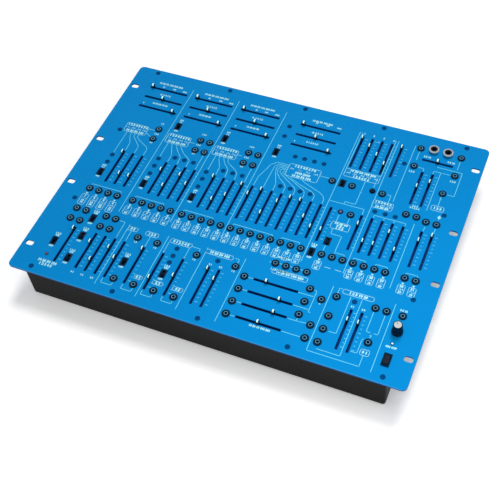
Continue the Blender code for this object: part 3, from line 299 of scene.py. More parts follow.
# Printed legends
# Two inks are screen printed on the panel. A pale blue one makes the lines that part the sections and trace
# the signal from control to control. A whiter one makes boxes, and plain numbers and wave signs as legends.
GRID = 12.7 * MM
LINE_WIDTH = 0.6 * MM
FINE_WIDTH = 0.5 * MM
LINE_OVERLAP = 0.9
INK_HEIGHT = 0.08 * MM
FONT_SIZE = 1.6 * MM
FONT_WEIGHT = 0.075
BOX_FIGURES = 2.9
BOX_WAVE = 2.3
WAVE_RISE = 1.2
BRACKET_DROP = 1.6
SHARP_ANGLE = math.radians(35)
INK_PALE = (0.36, 0.84, 0.94, 1)
INK_WHITE = (0.55, 0.95, 1.0, 1)
LINE_PALE = (0.15, 0.76, 1.0, 1)
LINE_BRIGHT = (0.26, 0.88, 1.0, 1)
# First column, row, how many, and the step between them, in columns and rows of the control grid
SOCKET_ROWS = (
    (-16.09, -3.255, 4, 1.0), (-11.40, -3.255, 5, 1.0), (-6.20, -3.255, 13, 1.0), (7.80, -3.255, 7, 1.0),
    (15.60, -3.255, 2, 1.0), (-13.09, 6.015, 1, 1.0), (-13.09, 4.655, 1, 1.0), (-8.40, 5.985, 2, 1.0),
    (-8.40, 4.625, 2, 1.0), (-3.19, 6.015, 2, 1.0), (-3.19, 4.625, 2, 1.0), (5.80, 5.295, 2, 2.0),
    (10.80, 5.305, 1, 1.0), (12.60, 12.045, 2, 4.03), (12.61, 9.645, 2, 4.02), (16.12, 7.165, 1, 1.0),
    (13.62, 3.665, 2, 1.0), (15.60, 3.385, 2, 1.0), (8.81, 1.915, 1, 1.0), (-16.09, -5.855, 2, 1.0),
    (-12.90, -5.855, 2, 1.0), (-16.09, -7.125, 2, 1.0), (-12.90, -7.125, 2, 1.0), (-8.91, -7.125, 2, 2.01),
    (-2.88, -7.125, 1, 1.0), (0.98, -7.125, 1, 1.0), (-8.92, -12.015, 4, 2.0), (2.14, -7.835, 1, 1.0),
    (2.14, -9.235, 1, 1.0), (2.14, -10.625, 1, 1.0), (2.14, -12.015, 1, 1.0), (4.24, -5.565, 4, 1.0),
    (8.15, -7.135, 1, 1.0), (8.15, -8.565, 1, 1.0), (8.15, -9.965, 1, 1.0), (9.46, -7.855, 1, 1.0),
    (9.46, -10.635, 1, 1.0), (9.46, -12.015, 1, 1.0), (10.61, -7.135, 1, 1.0), (10.61, -9.245, 1, 1.0),
    (10.61, -10.625, 1, 1.0), (10.61, -12.015, 1, 1.0), (14.17, -7.135, 2, 1.0), (14.64, -10.625, 1, 1.0),
    (16.61, -7.135, 1, 1.0),
)
# Upright lines: place across the panel, far end and near end, in millimetres from its middle
UPRIGHT_LINES = (
    (-153.3, 156.9, -62.1), (-87.1, 156.9, -56.6), (-20.6, 157.9, -57.1), (80.2, 155.9, -58.1),
    (130.9, 155.9, -58.1), (152.7, 154.7, 60.9), (193.9, 122.9, 60.9), (186.4, 35.9, -59.6),
    (-131.1, -76.1, -166.1), (-79.3, -76.1, -166.1), (-28.6, -76.1, -166.1), (19.4, -76.1, -166.1),
    (199.4, -77.8, -167.8), (-204.1, 60.4, 22.9), (-144.8, 60.2, 34.9), (-93.3, 53.4, 29.9),
    (-78.1, 60.2, 34.9), (-27.3, 53.4, 30.4), (83.2, 155.9, 92.9), (127.2, 155.9, 92.9), (124.4, 89.9, 73.9),
    (159.9, 148.2, 133.4), (211.4, 147.2, 133.4), (204.7, 87.2, 70.4), (138.4, 33.4, 29.9),
    (150.9, 33.4, 29.9), (163.2, 33.4, 29.9), (198.9, 35.9, 29.9), (211.2, 36.9, 29.9), (98.9, 19.9, 9.4),
    (112.4, 19.9, 9.4), (98.9, -28.1, -35.3), (-125.1, -84.1, -98.6), (-99.6, -84.1, -99.1),
    (-75.3, -84.1, -99.6), (-48.8, -84.1, -99.6), (103.7, -129.6, -135.1), (185.9, -124.6, -128.1),
)
# Other lines: x and y of their points in turn
PRINTED_LINES = (
    (126.9, -78.3, 126.9, -165.8, 185.9, -165.8, 185.9, -151.1),
    (-197.6, 60.4, -197.6, 55.4, -191.8, 43.4, -191.3, 30.4),
    (-192.3, 60.4, -192.3, 55.4, -179.8, 42.9, -178.3, 39.2, -178.3, 29.9),
    (-187.1, 60.4, -187.1, 55.4, -180.8, 50.7, -168.3, 43.9, -165.8, 39.7, -165.8, 29.9),
    (-139.3, 60.2, -138.8, 57.4, -133.1, 44.9, -131.8, 39.7, -131.8, 30.4),
    (-133.1, 60.2, -132.3, 57.4, -125.6, 48.4, -119.3, 41.7, -118.8, 30.4),
    (-126.8, 60.2, -126.1, 57.4, -118.3, 49.2, -106.8, 41.2, -106.3, 30.4),
    (-72.8, 60.2, -72.3, 55.4, -66.1, 42.9, -65.6, 30.9),
    (-66.8, 60.2, -66.1, 56.4, -62.3, 50.7, -54.6, 42.9, -53.1, 30.4),
    (-60.8, 60.2, -59.8, 54.2, -57.1, 52.2, -45.6, 44.9, -41.1, 39.7, -40.6, 30.4),
    (15.2, 74.2, -0.8, 74.2, -7.1, 67.9, -10.3, 56.9, -14.3, 44.9, -14.8, 30.4),
    (15.2, 71.9, 2.2, 71.9, -1.3, 67.4, -1.8, 58.4, -2.3, 30.4),
    (15.2, 69.7, 4.2, 69.7, 1.7, 66.4, 2.7, 58.4, 10.2, 40.7, 10.4, 29.9),
    (15.2, 67.4, 6.2, 67.4, 4.2, 64.4, 5.2, 57.9, 11.7, 50.2, 19.9, 43.9, 23.2, 39.7, 23.2, 30.4),
    (15.2, 65.2, 8.7, 65.2, 7.2, 62.4, 8.7, 58.9, 28.2, 45.9, 34.4, 41.7, 36.2, 37.7, 36.2, 30.9),
    (15.2, 62.9, 11.7, 62.4, 11.2, 60.4, 15.7, 57.7, 30.4, 50.2, 46.9, 41.2, 48.7, 35.9, 48.7, 30.4),
    (22.7, 57.7, 26.2, 54.2, 37.7, 49.2, 56.4, 42.9, 61.2, 38.7, 61.2, 30.4),
    (37.7, 57.7, 41.9, 54.2, 65.7, 44.9, 71.4, 40.9, 73.9, 35.9, 73.9, 30.4), (-179.8, 73.4, -171.3, 73.4),
    (-179.8, 65.9, -171.3, 61.9), (-119.3, 69.2, -112.3, 69.2), (-53.1, 69.2, -47.3, 69.2),
    (56.4, 70.2, 69.2, 70.2), (111.9, 80.4, 111.9, 41.7, 98.9, 41.7, 98.9, 37.7),
    (143.7, 68.4, 147.9, 68.4, 147.9, 55.9), (81.2, 37.7, 124.4, 37.7, 124.4, 29.9),
    (187.4, 131.4, 187.4, 129.9, 218.7, 129.9, 218.7, 91.4, 210.4, 91.4),
    (165.7, 122.4, 172.9, 122.4, 172.9, 117.9), (185.4, 117.9, 185.4, 122.4, 205.7, 122.4),
    (138.4, 33.4, 176.9, 33.4, 176.9, 29.9), (98.9, -1.1, 98.9, -9.3, 112.4, -9.3, 112.4, -33.1),
    (-145.3, -74.6, -138.1, -74.6, -138.1, -98.6), (-130.3, -84.1, -130.3, -78.1, -117.8, -78.1),
    (-125.6, -156.3, -125.6, -162.1, -112.1, -162.1, -112.1, -156.8),
    (-99.8, -156.3, -99.8, -162.1, -86.6, -162.1, -86.6, -156.8), (-47.8, -80.8, -36.3, -80.8, -36.3, -84.6),
    (-74.8, -156.3, -74.8, -161.6, -61.8, -161.6, -61.8, -156.8),
    (-49.3, -156.3, -49.3, -161.6, -36.3, -161.6, -36.3, -156.8), (7.9, -79.6, 12.7, -79.6, 12.7, -84.6),
    (32.4, -99.1, 37.2, -99.1), (32.4, -116.8, 37.2, -116.8), (32.4, -134.1, 37.2, -134.1),
    (32.4, -152.8, 37.2, -152.8), (92.7, -99.1, 110.4, -99.1),
    (108.2, -90.3, 110.4, -90.3, 111.9, -91.8, 111.9, -119.8, 114.2, -119.8), (93.7, -116.8, 110.4, -116.8),
    (94.2, -135.1, 107.2, -135.1, 115.2, -134.1), (93.7, -152.8, 114.2, -152.8),
    (134.4, -84.1, 134.4, -78.3, 137.7, -78.3), (149.9, -85.6, 149.9, -135.6, 141.7, -135.6),
    (162.9, -85.6, 162.9, -160.6, 136.4, -160.6), (179.7, -96.1, 179.7, -122.1, 184.2, -122.1),
    (192.7, -96.1, 192.7, -122.1, 188.2, -122.1),
    (179.7, -132.1, 178.7, -134.1, 178.7, -151.1, 171.9, -151.1), (46.4, -70.8, 50.2, -70.8),
    (58.7, -69.3, 62.2, -69.3), (70.9, -69.3, 74.4, -69.3), (83.7, -69.3, 87.2, -69.3),
)
# Left end, right end and height of the brackets over the middle row of sockets
BRACKETS = (
    (-204.8, -164.1, -33.6), (-144.3, -105.8, -33.8), (-79.1, -40.6, -33.8), (-14.3, 35.7, -33.8),
    (46.9, 69.7, -33.8), (112.4, 124.4, -33.6), (135.4, 149.9, -33.8), (161.9, 175.9, -33.8),
    (197.9, 211.4, -33.8),
)
OSCILLATOR_ROWS = ("1 2 3 4 5 6 7 8", "sine triangle saw square", "10 20 50 100")
# Left, far, right and near sides of the boxes, and what is printed in them, line by line
BOXES = (
    (-210.1, 75.9, -179.8, 60.7, OSCILLATOR_ROWS), (-150.6, 75.9, -119.3, 60.2, OSCILLATOR_ROWS),
    (-84.8, 75.4, -53.1, 60.2, OSCILLATOR_ROWS),
    (15.2, 77.9, 56.4, 57.7, ("1 2 3 4 5 6 7 8", "triangle sine square saw", "1000 2000", "10 20 50 100")),
    (83.2, 92.9, 127.2, 80.4, ("10 20 50 100 200", "saw triangle saw square saw", "1 2 3 4 5 6")),
    (94.7, 9.4, 117.2, -1.1, ("10 20 50", "+ 0 -", "1 2 3")),
    (130.5, 56.2, 155.2, 45.0, ("1 2 3 4 5 6", "sine saw square", "10 20 50")),
    (-131.0, -77.8, -118.5, -83.6, ("0 5",)), (-107.3, -77.8, -91.0, -83.6, ("1 2 3",)),
    (-74.8, -77.8, -47.3, -83.6, ("0 1 2 3 4 5",)), (-28.5, -77.8, 5.2, -83.6, ("10 20 50 100",)),
    (54.0, -77.8, 96.5, -84.1, ("10 20 50 100 200",)), (139.0, -77.8, 175.2, -83.6, ("1 2 5 10 20",)),
    (-92.3, -139.1, -82.3, -144.1, ("0 1",)), (-68.6, -139.1, -56.0, -144.1, ("2 3",)),
    (-43.5, -139.1, -31.0, -144.1, ("4 5",)), (197.7, 70.9, 212.7, 63.4, ("1 2 3",)),
    (181.4, -144.1, 191.4, -151.6, ("0 1",)),
)
# Rows of numbers: what is printed, the figures' height, the row's middle up the panel, and those across it
NUMBERS = (
    ("10 20 50 100 200 500", 2.4, 155.4, (-186.0, -119.3, -53.5)), ("10 20 50 100 200", 2.4, 155.4, (29.5,)),
    ("10", 1.9, 149.6, (-194.0, -127.3, -59.8)), ("100", 1.9, 149.6, (-178.5, -111.0, -46.0)),
    ("1000", 1.9, 149.6, (-163.5, -96.0, -31.0)), ("10", 1.9, 152.6, (22.7,)), ("100", 1.9, 152.6, (37.7,)),
    ("1000", 1.9, 152.6, (52.7,)), ("-2 -1 0 1 2", 2.2, 135.6, (-185.5, -118.0, -53.0, 29.5)),
    ("10 30 50 70 90", 2.2, 117.9, (-184.8,)), ("10 30 50 70", 2.2, 117.9, (-119.8, -52.3)),
    ("0 1 2 3 4 5", 2.2, 117.9, (29.0,)), ("0", 1.9, 114.6, (-207.3, -141.0, -74.8, 6.4)),
    ("ON", 1.9, 100.9, (-144.8, -78.5, -8.5)), ("1 2", 1.9, 97.6, (-144.8, -78.5, -8.5)),
    ("OFF", 1.9, 81.5, (-144.8, -78.5, -8.5)), ("OFF", 1.9, -1.6, (-205.3, -144.8, -78.5)),
    ("0 1", 1.9, -4.6, (-205.3, -144.8, -78.5)), ("ON", 1.9, -20.2, (-205.3, -144.8, -78.5)),
    ("1 2", 1.9, 87.1, (-166.2,)), ("1 2 3", 1.9, 87.1, (-106.7, -40.5)),
    ("1 2 3", 1.9, 68.4, (-166.2, -106.7, -40.5)), ("4 5", 1.9, 52.8, (-166.2, -106.7, -40.5)),
    ("1", 2.1, 154.6, (86.4,)), ("2", 2.1, 154.6, (98.9,)), ("3", 2.1, 154.6, (112.0,)),
    ("4", 2.1, 154.6, (124.7,)), ("0 5 10", 2.2, 142.1, (171.5, 201.4)), ("5 6 7", 2.0, 61.9, (179.6,)),
    ("1 2 3", 2.2, 113.4, (159.7, 211.0)), ("0 1 2 3 4", 2.0, 58.9, (179.6,)),
    ("1 2", 1.9, -97.1, (-113.3, -87.8, -37.3, 12.0)), ("0 1", 1.9, -97.1, (-16.3, 155.7)),
    ("2 3", 1.9, -97.1, (-3.5, 168.4)), ("0 1", 1.9, -160.3, (-163.5,)), ("1 2", 1.9, -160.3, (-151.0,)),
    ("2 3", 1.9, -160.3, (-138.0,)), ("10 20 50 100 200", 2.2, -157.3, (69.0,)), ("0", 4.2, 54.6, (210.8,)),
    ("10 20 50 100", 2.9, -157.4, (-198.5,)), ("1 2 3 4 5", 2.9, -161.9, (-198.5,)),
    ("0 5 10", 2.1, -83.4, (210.2,)), ("ON OFF", 2.1, -132.1, (210.6,)), ("20 40 60 80", 2.0, -60.9, (60.7,)),
    ("10 30 50 70 90", 2.0, -79.0, (69.0,)), ("1 2 3 4 5 6 7 8", 2.0, -79.3, (60.7,)),
)
# Small filled arrow heads: where they are, and the direction in degrees that they point in
ARROWS = (
    (120.2, -105.6, -90), (185.9, -125.4, -90), (204.7, 82.1, 90), (111.9, 62.0, -90),
    (-99.6, -97.0, -90), (-75.3, -97.5, -90), (-48.8, -97.5, -90), (134.4, -85.0, -90), (107.7, 146.5, 0),
)
WAVES = {
    "sine": ((-1, 0), (-0.8, 0.6), (-0.5, 1), (-0.2, 0.6), (0.2, -0.6), (0.5, -1), (0.8, -0.6), (1, 0)),
    "triangle": ((-1, -1), (-0.5, 1), (0, -1), (0.5, 1), (1, -1)),
    "saw": ((-1, -1), (0, 1), (0, -1), (1, 1), (1, -1)),
    "square": ((-1, -1), (-1, 1), (0, 1), (0, -1), (1, -1), (1, 1)),
}


def add_path(bm, points, width=LINE_WIDTH):
    """Prints a line through points that are given in millimetres."""
    for start, end in zip(points, points[1:]):
        start, end = Vector(start) * MM, Vector(end) * MM
        along = end - start
        place = Matrix.Translation(((start.x + end.x) / 2, (start.y + end.y) / 2, PANEL_TOP))
        turn = Matrix.Rotation(math.atan2(along.y, along.x), 4, "Z")
        scale = Matrix.Diagonal((along.length + LINE_OVERLAP * width, width, INK_HEIGHT, 1))
        bmesh.ops.create_cube(bm, size=1, matrix=place @ turn @ scale)


def add_outline(bm, left, far, right, near, cut=1.2):
    """Prints a box with cut corners."""
    add_path(bm, (
        (left + cut, far), (right - cut, far), (right, far - cut), (right, near + cut), (right - cut, near),
        (left + cut, near), (left, near + cut), (left, far - cut), (left + cut, far),
    ), FINE_WIDTH)


def add_wave(bm, kind, x, y, reach):
    add_path(bm, [(x + reach * u, y + WAVE_RISE * v) for u, v in WAVES[kind]], FINE_WIDTH)


number_meshes = {}


def add_number(bm, figures, x, y, height):
    """Prints figures round a middle. Each row of figures is made once, and copied."""
    if figures not in number_meshes:
        curve = bpy.data.curves.new("figures", "FONT")
        curve.body = figures
        curve.align_x = "CENTER"
        curve.align_y = "CENTER"
        curve.resolution_u = 1
        curve.extrude = 0.5
        curve.offset = FONT_WEIGHT
        holder = bpy.data.objects.new("figures", curve)
        flat = bmesh.new()
        flat.from_mesh(bpy.data.meshes.new_from_object(holder))
        bmesh.ops.remove_doubles(flat, verts=flat.verts, dist=0.0001)
        mesh = bpy.data.meshes.new("figures")
        flat.to_mesh(mesh)
        flat.free()
        bpy.data.objects.remove(holder)
        number_meshes[figures] = mesh
    mesh = number_meshes[figures]
    bm.from_mesh(mesh)
    bm.verts.ensure_lookup_table()
    size = FONT_SIZE * height
    place = Matrix.Translation((x * MM, y * MM, PANEL_TOP)) @ Matrix.Diagonal((size, size, INK_HEIGHT, 1))
    bmesh.ops.transform(bm, matrix=place, verts=bm.verts[-len(mesh.vertices):])


def add_arrow(bm, x, y, degrees, reach=1.3):
    turn = Matrix.Rotation(math.radians(degrees + 90), 4, "Z")
    bmesh.ops.create_cone(
        bm, cap_ends=True, segments=3, radius1=reach * MM, radius2=reach * MM, depth=INK_HEIGHT,
        matrix=Matrix.Translation((x * MM, y * MM, PANEL_TOP)) @ turn,
    )


def make_piece(name, bm, finish, body="chassis", smooth=False):
    """Ends a mesh: faces turned outwards, material on, and riding on its body."""
    bmesh.ops.recalc_face_normals(bm, faces=bm.faces[:])
    if smooth:
        for face in bm.faces:
            face.smooth = True
    mesh = bpy.data.meshes.new(name)
    bm.to_mesh(mesh)
    bm.free()
    mesh.materials.append(finish.material)
    piece = bpy.data.objects.new(name, mesh)
    scene.collection.objects.link(piece)
    if smooth:
        mesh.set_sharp_from_angle(angle=SHARP_ANGLE)
    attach(piece, body)
    return piece


ink = Finish("white_ink", roughness=0.55, specular=0.2)
ink.mottle(900.0, INK_PALE, INK_WHITE, 0.35, 0.7)
ink.grain(1400.0, 0.45, 0.65)
line_ink = Finish("pale_blue_ink", roughness=0.55, specular=0.2)
line_ink.mottle(900.0, LINE_PALE, LINE_BRIGHT)
line_ink.grain(1400.0, 0.45, 0.65)

lines = bmesh.new()
for x, far, near in UPRIGHT_LINES:
    add_path(lines, ((x, far), (x, near)))
for path in PRINTED_LINES:
    add_path(lines, tuple(zip(path[::2], path[1::2])))
for left, right, y in BRACKETS:
    foot = y - BRACKET_DROP
    add_path(lines, ((left, foot), (left, y), (right, y), (right, foot)))
make_piece("printed_lines", lines, line_ink)

legends = bmesh.new()
for figures, height, y, places in NUMBERS:
    for x in places:
        add_number(legends, figures, x, y, height)
for x, y, degrees in ARROWS:
    add_arrow(legends, x, y, degrees)
for left, far, right, near, rows in BOXES:
    add_outline(legends, left, far, right, near)
    for index, row in enumerate(rows):
        y = far + (near - far) * (index + 0.5) / len(rows)
        marks = row.split()
        if marks[0] not in WAVES:
            add_number(legends, row, (left + right) / 2, y, BOX_FIGURES)
            continue
        for step, kind in enumerate(marks):
            add_wave(legends, kind, left + (right - left) * (step + 0.5) / len(marks), y, BOX_WAVE)
make_piece("printed_legends", legends, ink)

# Below each socket of the middle row an arrow points up to it, from a box with its number, a wave sign and
# levels. Two sockets have only a dash there, and the first four boxes are deeper. All in millimetres.
FIELDS = 31
DASH_FIELDS = (23, 24)
DASH_ROW = -56.6
DASH_REACH = 3.5
ARROW_ROW = -48.8
NUMBER_ROW = -53.4
WAVE_ROW = -57.2
FIRST_LEVEL = -61
LEVEL_STEP = -3
FIELD_REACH = 4.2
FIELD_FAR = -51.0
FIELD_NEAR = -63.2
DEEP_FIELDS = 4
DEEP_FIELD_NEAR = -67.6

socket_places = [
    Vector(((column + index * step) * GRID, row * GRID, 0))
    for column, row, count, step in SOCKET_ROWS
    for index in range(count)
]
fields = bmesh.new()
for index, socket in enumerate(socket_places[:FIELDS]):
    x = socket.x / MM
    if index in DASH_FIELDS:
        add_path(fields, ((x - DASH_REACH, DASH_ROW), (x + DASH_REACH, DASH_ROW)))
        continue
    near = DEEP_FIELD_NEAR if index < DEEP_FIELDS else FIELD_NEAR
    add_arrow(fields, x, ARROW_ROW, degrees=90, reach=1.9)
    add_outline(fields, x - FIELD_REACH, FIELD_FAR, x + FIELD_REACH, near, cut=1.1)
    add_number(fields, str(index + 1), x, NUMBER_ROW, height=2.6)
    add_wave(fields, ("sine", "saw", "square", "triangle")[index % 4], x, WAVE_ROW, reach=2.6)
    for y in range(FIRST_LEVEL, int(near), LEVEL_STEP):
        add_number(fields, ("10", "20", "50")[index % 3], x, y, height=2.3)
make_piece("printed_socket_fields", fields, ink)


# Nuts and ferrules of the patch sockets
# Each socket is held by a round black nylon nut with a chamfered rim, and the nickel-plated ferrule of the
# socket itself shows inside it, round the 3.5 mm bore. Below its rim the ferrule carries painted shade.
NUT_PROFILE = ((4.8, -0.1), (4.8, 1.0), (4.4, 1.4), (2.8, 1.4), (2.4, 1.2), (2.4, 1.1))
FERRULE_PROFILE = (
    (2.5, 1.05), (2.5, 1.35), (2.3, 1.5), (1.99, 1.5), (1.74, 1.3), (1.74, -6), (1.77, -6), (1.78, 1.05),
)
FERRULE_RIM = PANEL_TOP + 1.42 * MM
BLACK_NYLON = (0.001, 0.013, 0.034, 1)
WORN_NYLON = (0.002, 0.020, 0.048, 1)
# The nickel is tinted blue, a painted reflection of the blue panel round it.
NICKEL_AND_PAINTED_REFLECTION = (0.18, 0.52, 0.78, 1)
BORE_PAINTED_SHADE = (0.012, 0.012, 0.012, 1)


def add_turned(bm, profile, x=0, y=0, base=PANEL_TOP, sides=32):
    """Spins a profile round an upright axis. One that keeps off the axis is closed, and gives a ring.

    The profile's points are radius and height over the base, in millimetres.
    """
    centre = Vector((x, y, base))
    verts = [bm.verts.new(centre + Vector((radius, 0, height)) * MM) for radius, height in profile]
    pairs = list(zip(verts, verts[1:]))
    if profile[0][0] > 0 or profile[-1][0] > 0:
        pairs.append((verts[-1], verts[0]))
    edges = [bm.edges.new(pair) for pair in pairs]
    start = len(bm.verts) - len(verts)
    bmesh.ops.spin(
        bm, geom=verts + edges, cent=centre, axis=(0, 0, 1), angle=math.tau, steps=sides, use_merge=True
    )
    bm.verts.ensure_lookup_table()
    bmesh.ops.remove_doubles(bm, verts=bm.verts[start:], dist=0.001 * MM)


def repeat(bm, template, places=((0, 0, 0),)):
    """Copies a small template to its places, and frees it."""
    mesh = bpy.data.meshes.new("template")
    template.to_mesh(mesh)
    template.free()
    for place in places:
        bm.from_mesh(mesh)
        bm.verts.ensure_lookup_table()
        bmesh.ops.translate(bm, verts=bm.verts[-len(mesh.vertices):], vec=place)
    bpy.data.meshes.remove(mesh)


nylon = Finish("black_nylon", roughness=0.38, specular=0.08)
nylon.mottle(300.0, BLACK_NYLON, WORN_NYLON, 0.35, 0.65)
nylon.grain(900.0, 0.32, 0.46)
nylon.bump(nylon.noise(2400.0), 0.01 * MM)

nut = bmesh.new()
add_turned(nut, NUT_PROFILE, sides=14)
nuts = bmesh.new()
repeat(nuts, nut, socket_places)
make_piece("patch_socket_nuts", nuts, nylon, smooth=True)

nickel = Finish("nickel_plate", roughness=0.3, metallic=1.0)
# Painted shade: the ferrule is coloured near black everywhere below its rim.
ferrule_shade = nickel.z < FERRULE_RIM
nickel.set("Base Color", nickel.mix(ferrule_shade, NICKEL_AND_PAINTED_REFLECTION, BORE_PAINTED_SHADE))
nickel.grain(1500.0, 0.24, 0.4)
ferrule = bmesh.new()
add_turned(ferrule, FERRULE_PROFILE, sides=12)
ferrules = bmesh.new()
repeat(ferrules, ferrule, socket_places)
make_piece("patch_socket_ferrules", ferrules, nickel, smooth=True)


# Control boards
# Three lengths of green glass-fibre board carry the bodies of the sockets and switches, moulded in black, and
# of the sliders, moulded in navy. Only their tops show, through the slots and windows of the panel.
BOARD_TOP = 38.0 * MM
SLIDER_BODY_TOP = 45.9 * MM
SOLDER_MASK = (0.008, 0.085, 0.035, 1)
SLIDER_NAVY = (0.001, 0.034, 0.17, 1)
COPPER_UNDER_MASK = (0.016, 0.13, 0.055, 1)

board = Finish("green_board", roughness=0.45, specular=0.2)
over_board = board.z > BOARD_TOP + 0.05 * MM
traces = board.add("ShaderNodeTexBrick", {"offset": 0.5}, {
    "Vector": board.place, "Scale": 150.0, "Mortar Size": 0.03, "Brick Width": 0.9, "Row Height": 0.22,
    "Color1": (1, 1, 1, 1), "Color2": (0.6, 0.6, 0.6, 1), "Mortar": (0, 0, 0, 1),
})
mask_colour = board.mix(board.fade(traces, 0.2, 0.8), SOLDER_MASK, COPPER_UNDER_MASK)
body_colour = board.mix(board.z > SLIDER_BODY_TOP, SLIDER_NAVY, BLACK_PLASTIC)
board.set("Base Color", board.mix(over_board, mask_colour, body_colour))
board.grain(500.0, 0.34, 0.5)
board.bump(board.noise(1800.0), 0.01 * MM)
for node in ("upper_control_board", "middle_control_board", "lower_control_board"):
    dress(node, board)


# Slide controls
# A black lever runs in each slot and ends in a moulded black cap. A pale plastic lens wraps over the tip of
# the cap; it has a painted glow, white at the tip, with painted shade towards its foot. A navy line of
# painted shade lies close round each slot, and a scale of ticks is printed beside each upright one.
CAP_TOP = PANEL_TOP + 6.2 * MM
CAP_TAPER = 0.6 * MM
LENS_LOW = PANEL_TOP + 4.0 * MM
LENS_PROUD = 0.2 * MM
LENS_TAPER = 0.3 * MM
LENS_ROUNDING = 0.3 * MM
# Width of the lens, and the depth of its cap's foot from near to far
ACROSS_LENS = (2.4 * MM, 3.0 * MM)
UPRIGHT_LENS = (1.6 * MM, 4.0 * MM)
WORN_PLASTIC = (0.002, 0.018, 0.048, 1)
LENS_PAINTED_SHADE = (0.05, 0.11, 0.14, 1)
LENS_WHITE = (0.30, 0.42, 0.46, 1)
PAINTED_GLOW_SHADE = (0.02, 0.10, 0.18, 1)
PAINTED_GLOW_WHITE = (0.50, 0.90, 1.0, 1)
PAINTED_GLOW_STRENGTH = 0.9
PAINTED_GLOW_FOOT = 0.25
PAINTED_GLOW_FULL = CAP_TOP - 0.4 * MM
# Sliders that are one solid with their board, by row: column, and setting in quarters of the travel
QUARTER_TRAVEL = 11.25 * MM
FIXED_SLIDERS = {
    0.13: (
        (-15.10, 2), (-14.10, -1), (-13.07, -1), (-10.42, 1), (-9.37, -1), (-8.35, 1), (-7.33, 0), (-5.20, 2),
        (-4.20, -1), (-3.17, 0), (-2.20, 2), (-1.20, 1), (-0.18, 2), (0.80, -1), (1.79, 1), (2.79, 2),
        (3.80, 2), (4.78, 0), (5.78, -1), (6.81, -1), (9.82, 1), (10.84, -1), (11.83, -1), (12.81, 1),
        (13.83, -1), (15.57, 1), (16.59, 2),
    ),
    -10.04: ((-1.26, 2), (-0.26, 1), (12.28, 1), (13.26, 1)),
}
# Columns of the upright slots whose sliders move on their own, by row
MOVING_UPRIGHT_SLOTS = {
    9.65: (6.81, 7.80, 8.81, 9.82, 10.84),
    7.10: (13.60, 14.62),
    -10.04: (-15.08, -12.84, -11.86, -10.85, -9.85, -7.84, -5.85, -3.86),
}
ACROSS_SLOTS = tuple(itertools.product((-14.53, -9.37, -4.15, 2.39), (11.39, 9.97, 8.57)))
ACROSS_SLOTS += tuple(itertools.product((5.14,), (-7.80, -9.20, -10.60, -12.00)))
PAN_SLOT = (14.63, 10.74)
# Sizes of slots and print, in millimetres
SLOT_WIDTH = 2.8
SLOT_LENGTH = 53.2
PAN_SLOT_LENGTH = 38.2
SLOT_SHADE_WIDTH = 0.3
SLOT_SHADE_GAP = 0.02
SLOT_SHADE_NAVY = (0.001, 0.032, 0.15, 1)
SLOT_SHADE_NAVY_PALE = (0.002, 0.045, 0.20, 1)
TICK_OFFSET = 5.2
TICK_LIFT = 0.5
# How far the middle tick and the three after it reach, and then again from the start
TICK_REACHES = (1.5, 0.7, 1.0, 0.7)


def middle(node):
    """Where the middle of a node is, across and up the panel."""
    low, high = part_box(node)
    return (low.x + high.x) / 2, (low.y + high.y) / 2


def round_edges(bm, edges, radius, segments=1):
    bmesh.ops.bevel(
        bm, geom=edges, offset=radius, offset_type="OFFSET", segments=segments, profile=0.5, affect="EDGES",
        material=-1,
    )


def add_slot_shade(bm, column, row, width, length):
    """Lays a line of painted shade close round a slot."""
    x, y = column * GRID / MM, row * GRID / MM
    across = (width + SLOT_SHADE_WIDTH) / 2 + SLOT_SHADE_GAP
    along = (length + SLOT_SHADE_WIDTH) / 2 + SLOT_SHADE_GAP
    corners = ((-across, -along), (-across, along), (across, along), (across, -along), (-across, -along))
    add_path(bm, [(x + u, y + v) for u, v in corners], SLOT_SHADE_WIDTH * MM)


def add_lens(bm, width, depth):
    """The lens over the tip of a cap that is so deep, from near to far, at its foot."""
    foot_depth = depth + 2 * LENS_PROUD
    scale = Matrix.Diagonal((width, foot_depth, CAP_TOP + LENS_PROUD - LENS_LOW, 1))
    lift = Matrix.Translation((0, 0, (CAP_TOP + LENS_PROUD + LENS_LOW) / 2))
    verts = bmesh.ops.create_cube(bm, size=1, matrix=lift @ scale)["verts"]
    tip = [vert for vert in verts if vert.co.z > CAP_TOP]
    narrow = (1 - LENS_TAPER / width, 1 - CAP_TAPER / foot_depth, 1)
    bmesh.ops.scale(bm, vec=narrow, verts=tip)
    rim = [edge for edge in bm.edges if edge.verts[0] in tip or edge.verts[1] in tip]
    round_edges(bm, rim, LENS_ROUNDING, segments=2)


lever = Finish("black_lever", roughness=0.32, specular=0.08)
lever.mottle(400.0, BLACK_PLASTIC, WORN_PLASTIC, 0.35, 0.65)
lever.grain(1200.0, 0.28, 0.42)
lever.bump(lever.noise(2600.0), 0.008 * MM)

# Painted light: the lens glows though no lamp lights it, white at the tip, with painted shade towards its
# foot.
lens = Finish("painted_glow_lens", roughness=0.25)
glow = lens.fade(lens.z, LENS_LOW, PAINTED_GLOW_FULL, PAINTED_GLOW_FOOT, 1.0)
lens.set("Base Color", lens.mix(glow, LENS_PAINTED_SHADE, LENS_WHITE))
lens.set("Emission Color", lens.mix(glow, PAINTED_GLOW_SHADE, PAINTED_GLOW_WHITE))
lens.set("Emission Strength", PAINTED_GLOW_STRENGTH)

for name in sorted(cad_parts):
    if not name.endswith("_slider"):
        continue
    dress(name, lever)
    low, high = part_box(name)
    slides_across = high.x - low.x > high.y - low.y
    strip = bmesh.new()
    add_lens(strip, *(ACROSS_LENS if slides_across else UPRIGHT_LENS))
    bmesh.ops.translate(strip, verts=strip.verts, vec=(*middle(name), 0))
    make_piece(name + "_lens", strip, lens, body=name)

strip = bmesh.new()
add_lens(strip, *UPRIGHT_LENS)
strips = bmesh.new()
repeat(strips, strip, [
    Vector((column * GRID, row * GRID + setting * QUARTER_TRAVEL, 0))
    for row, sliders in FIXED_SLIDERS.items()
    for column, setting in sliders
])
make_piece("fixed_slider_lenses", strips, lens)

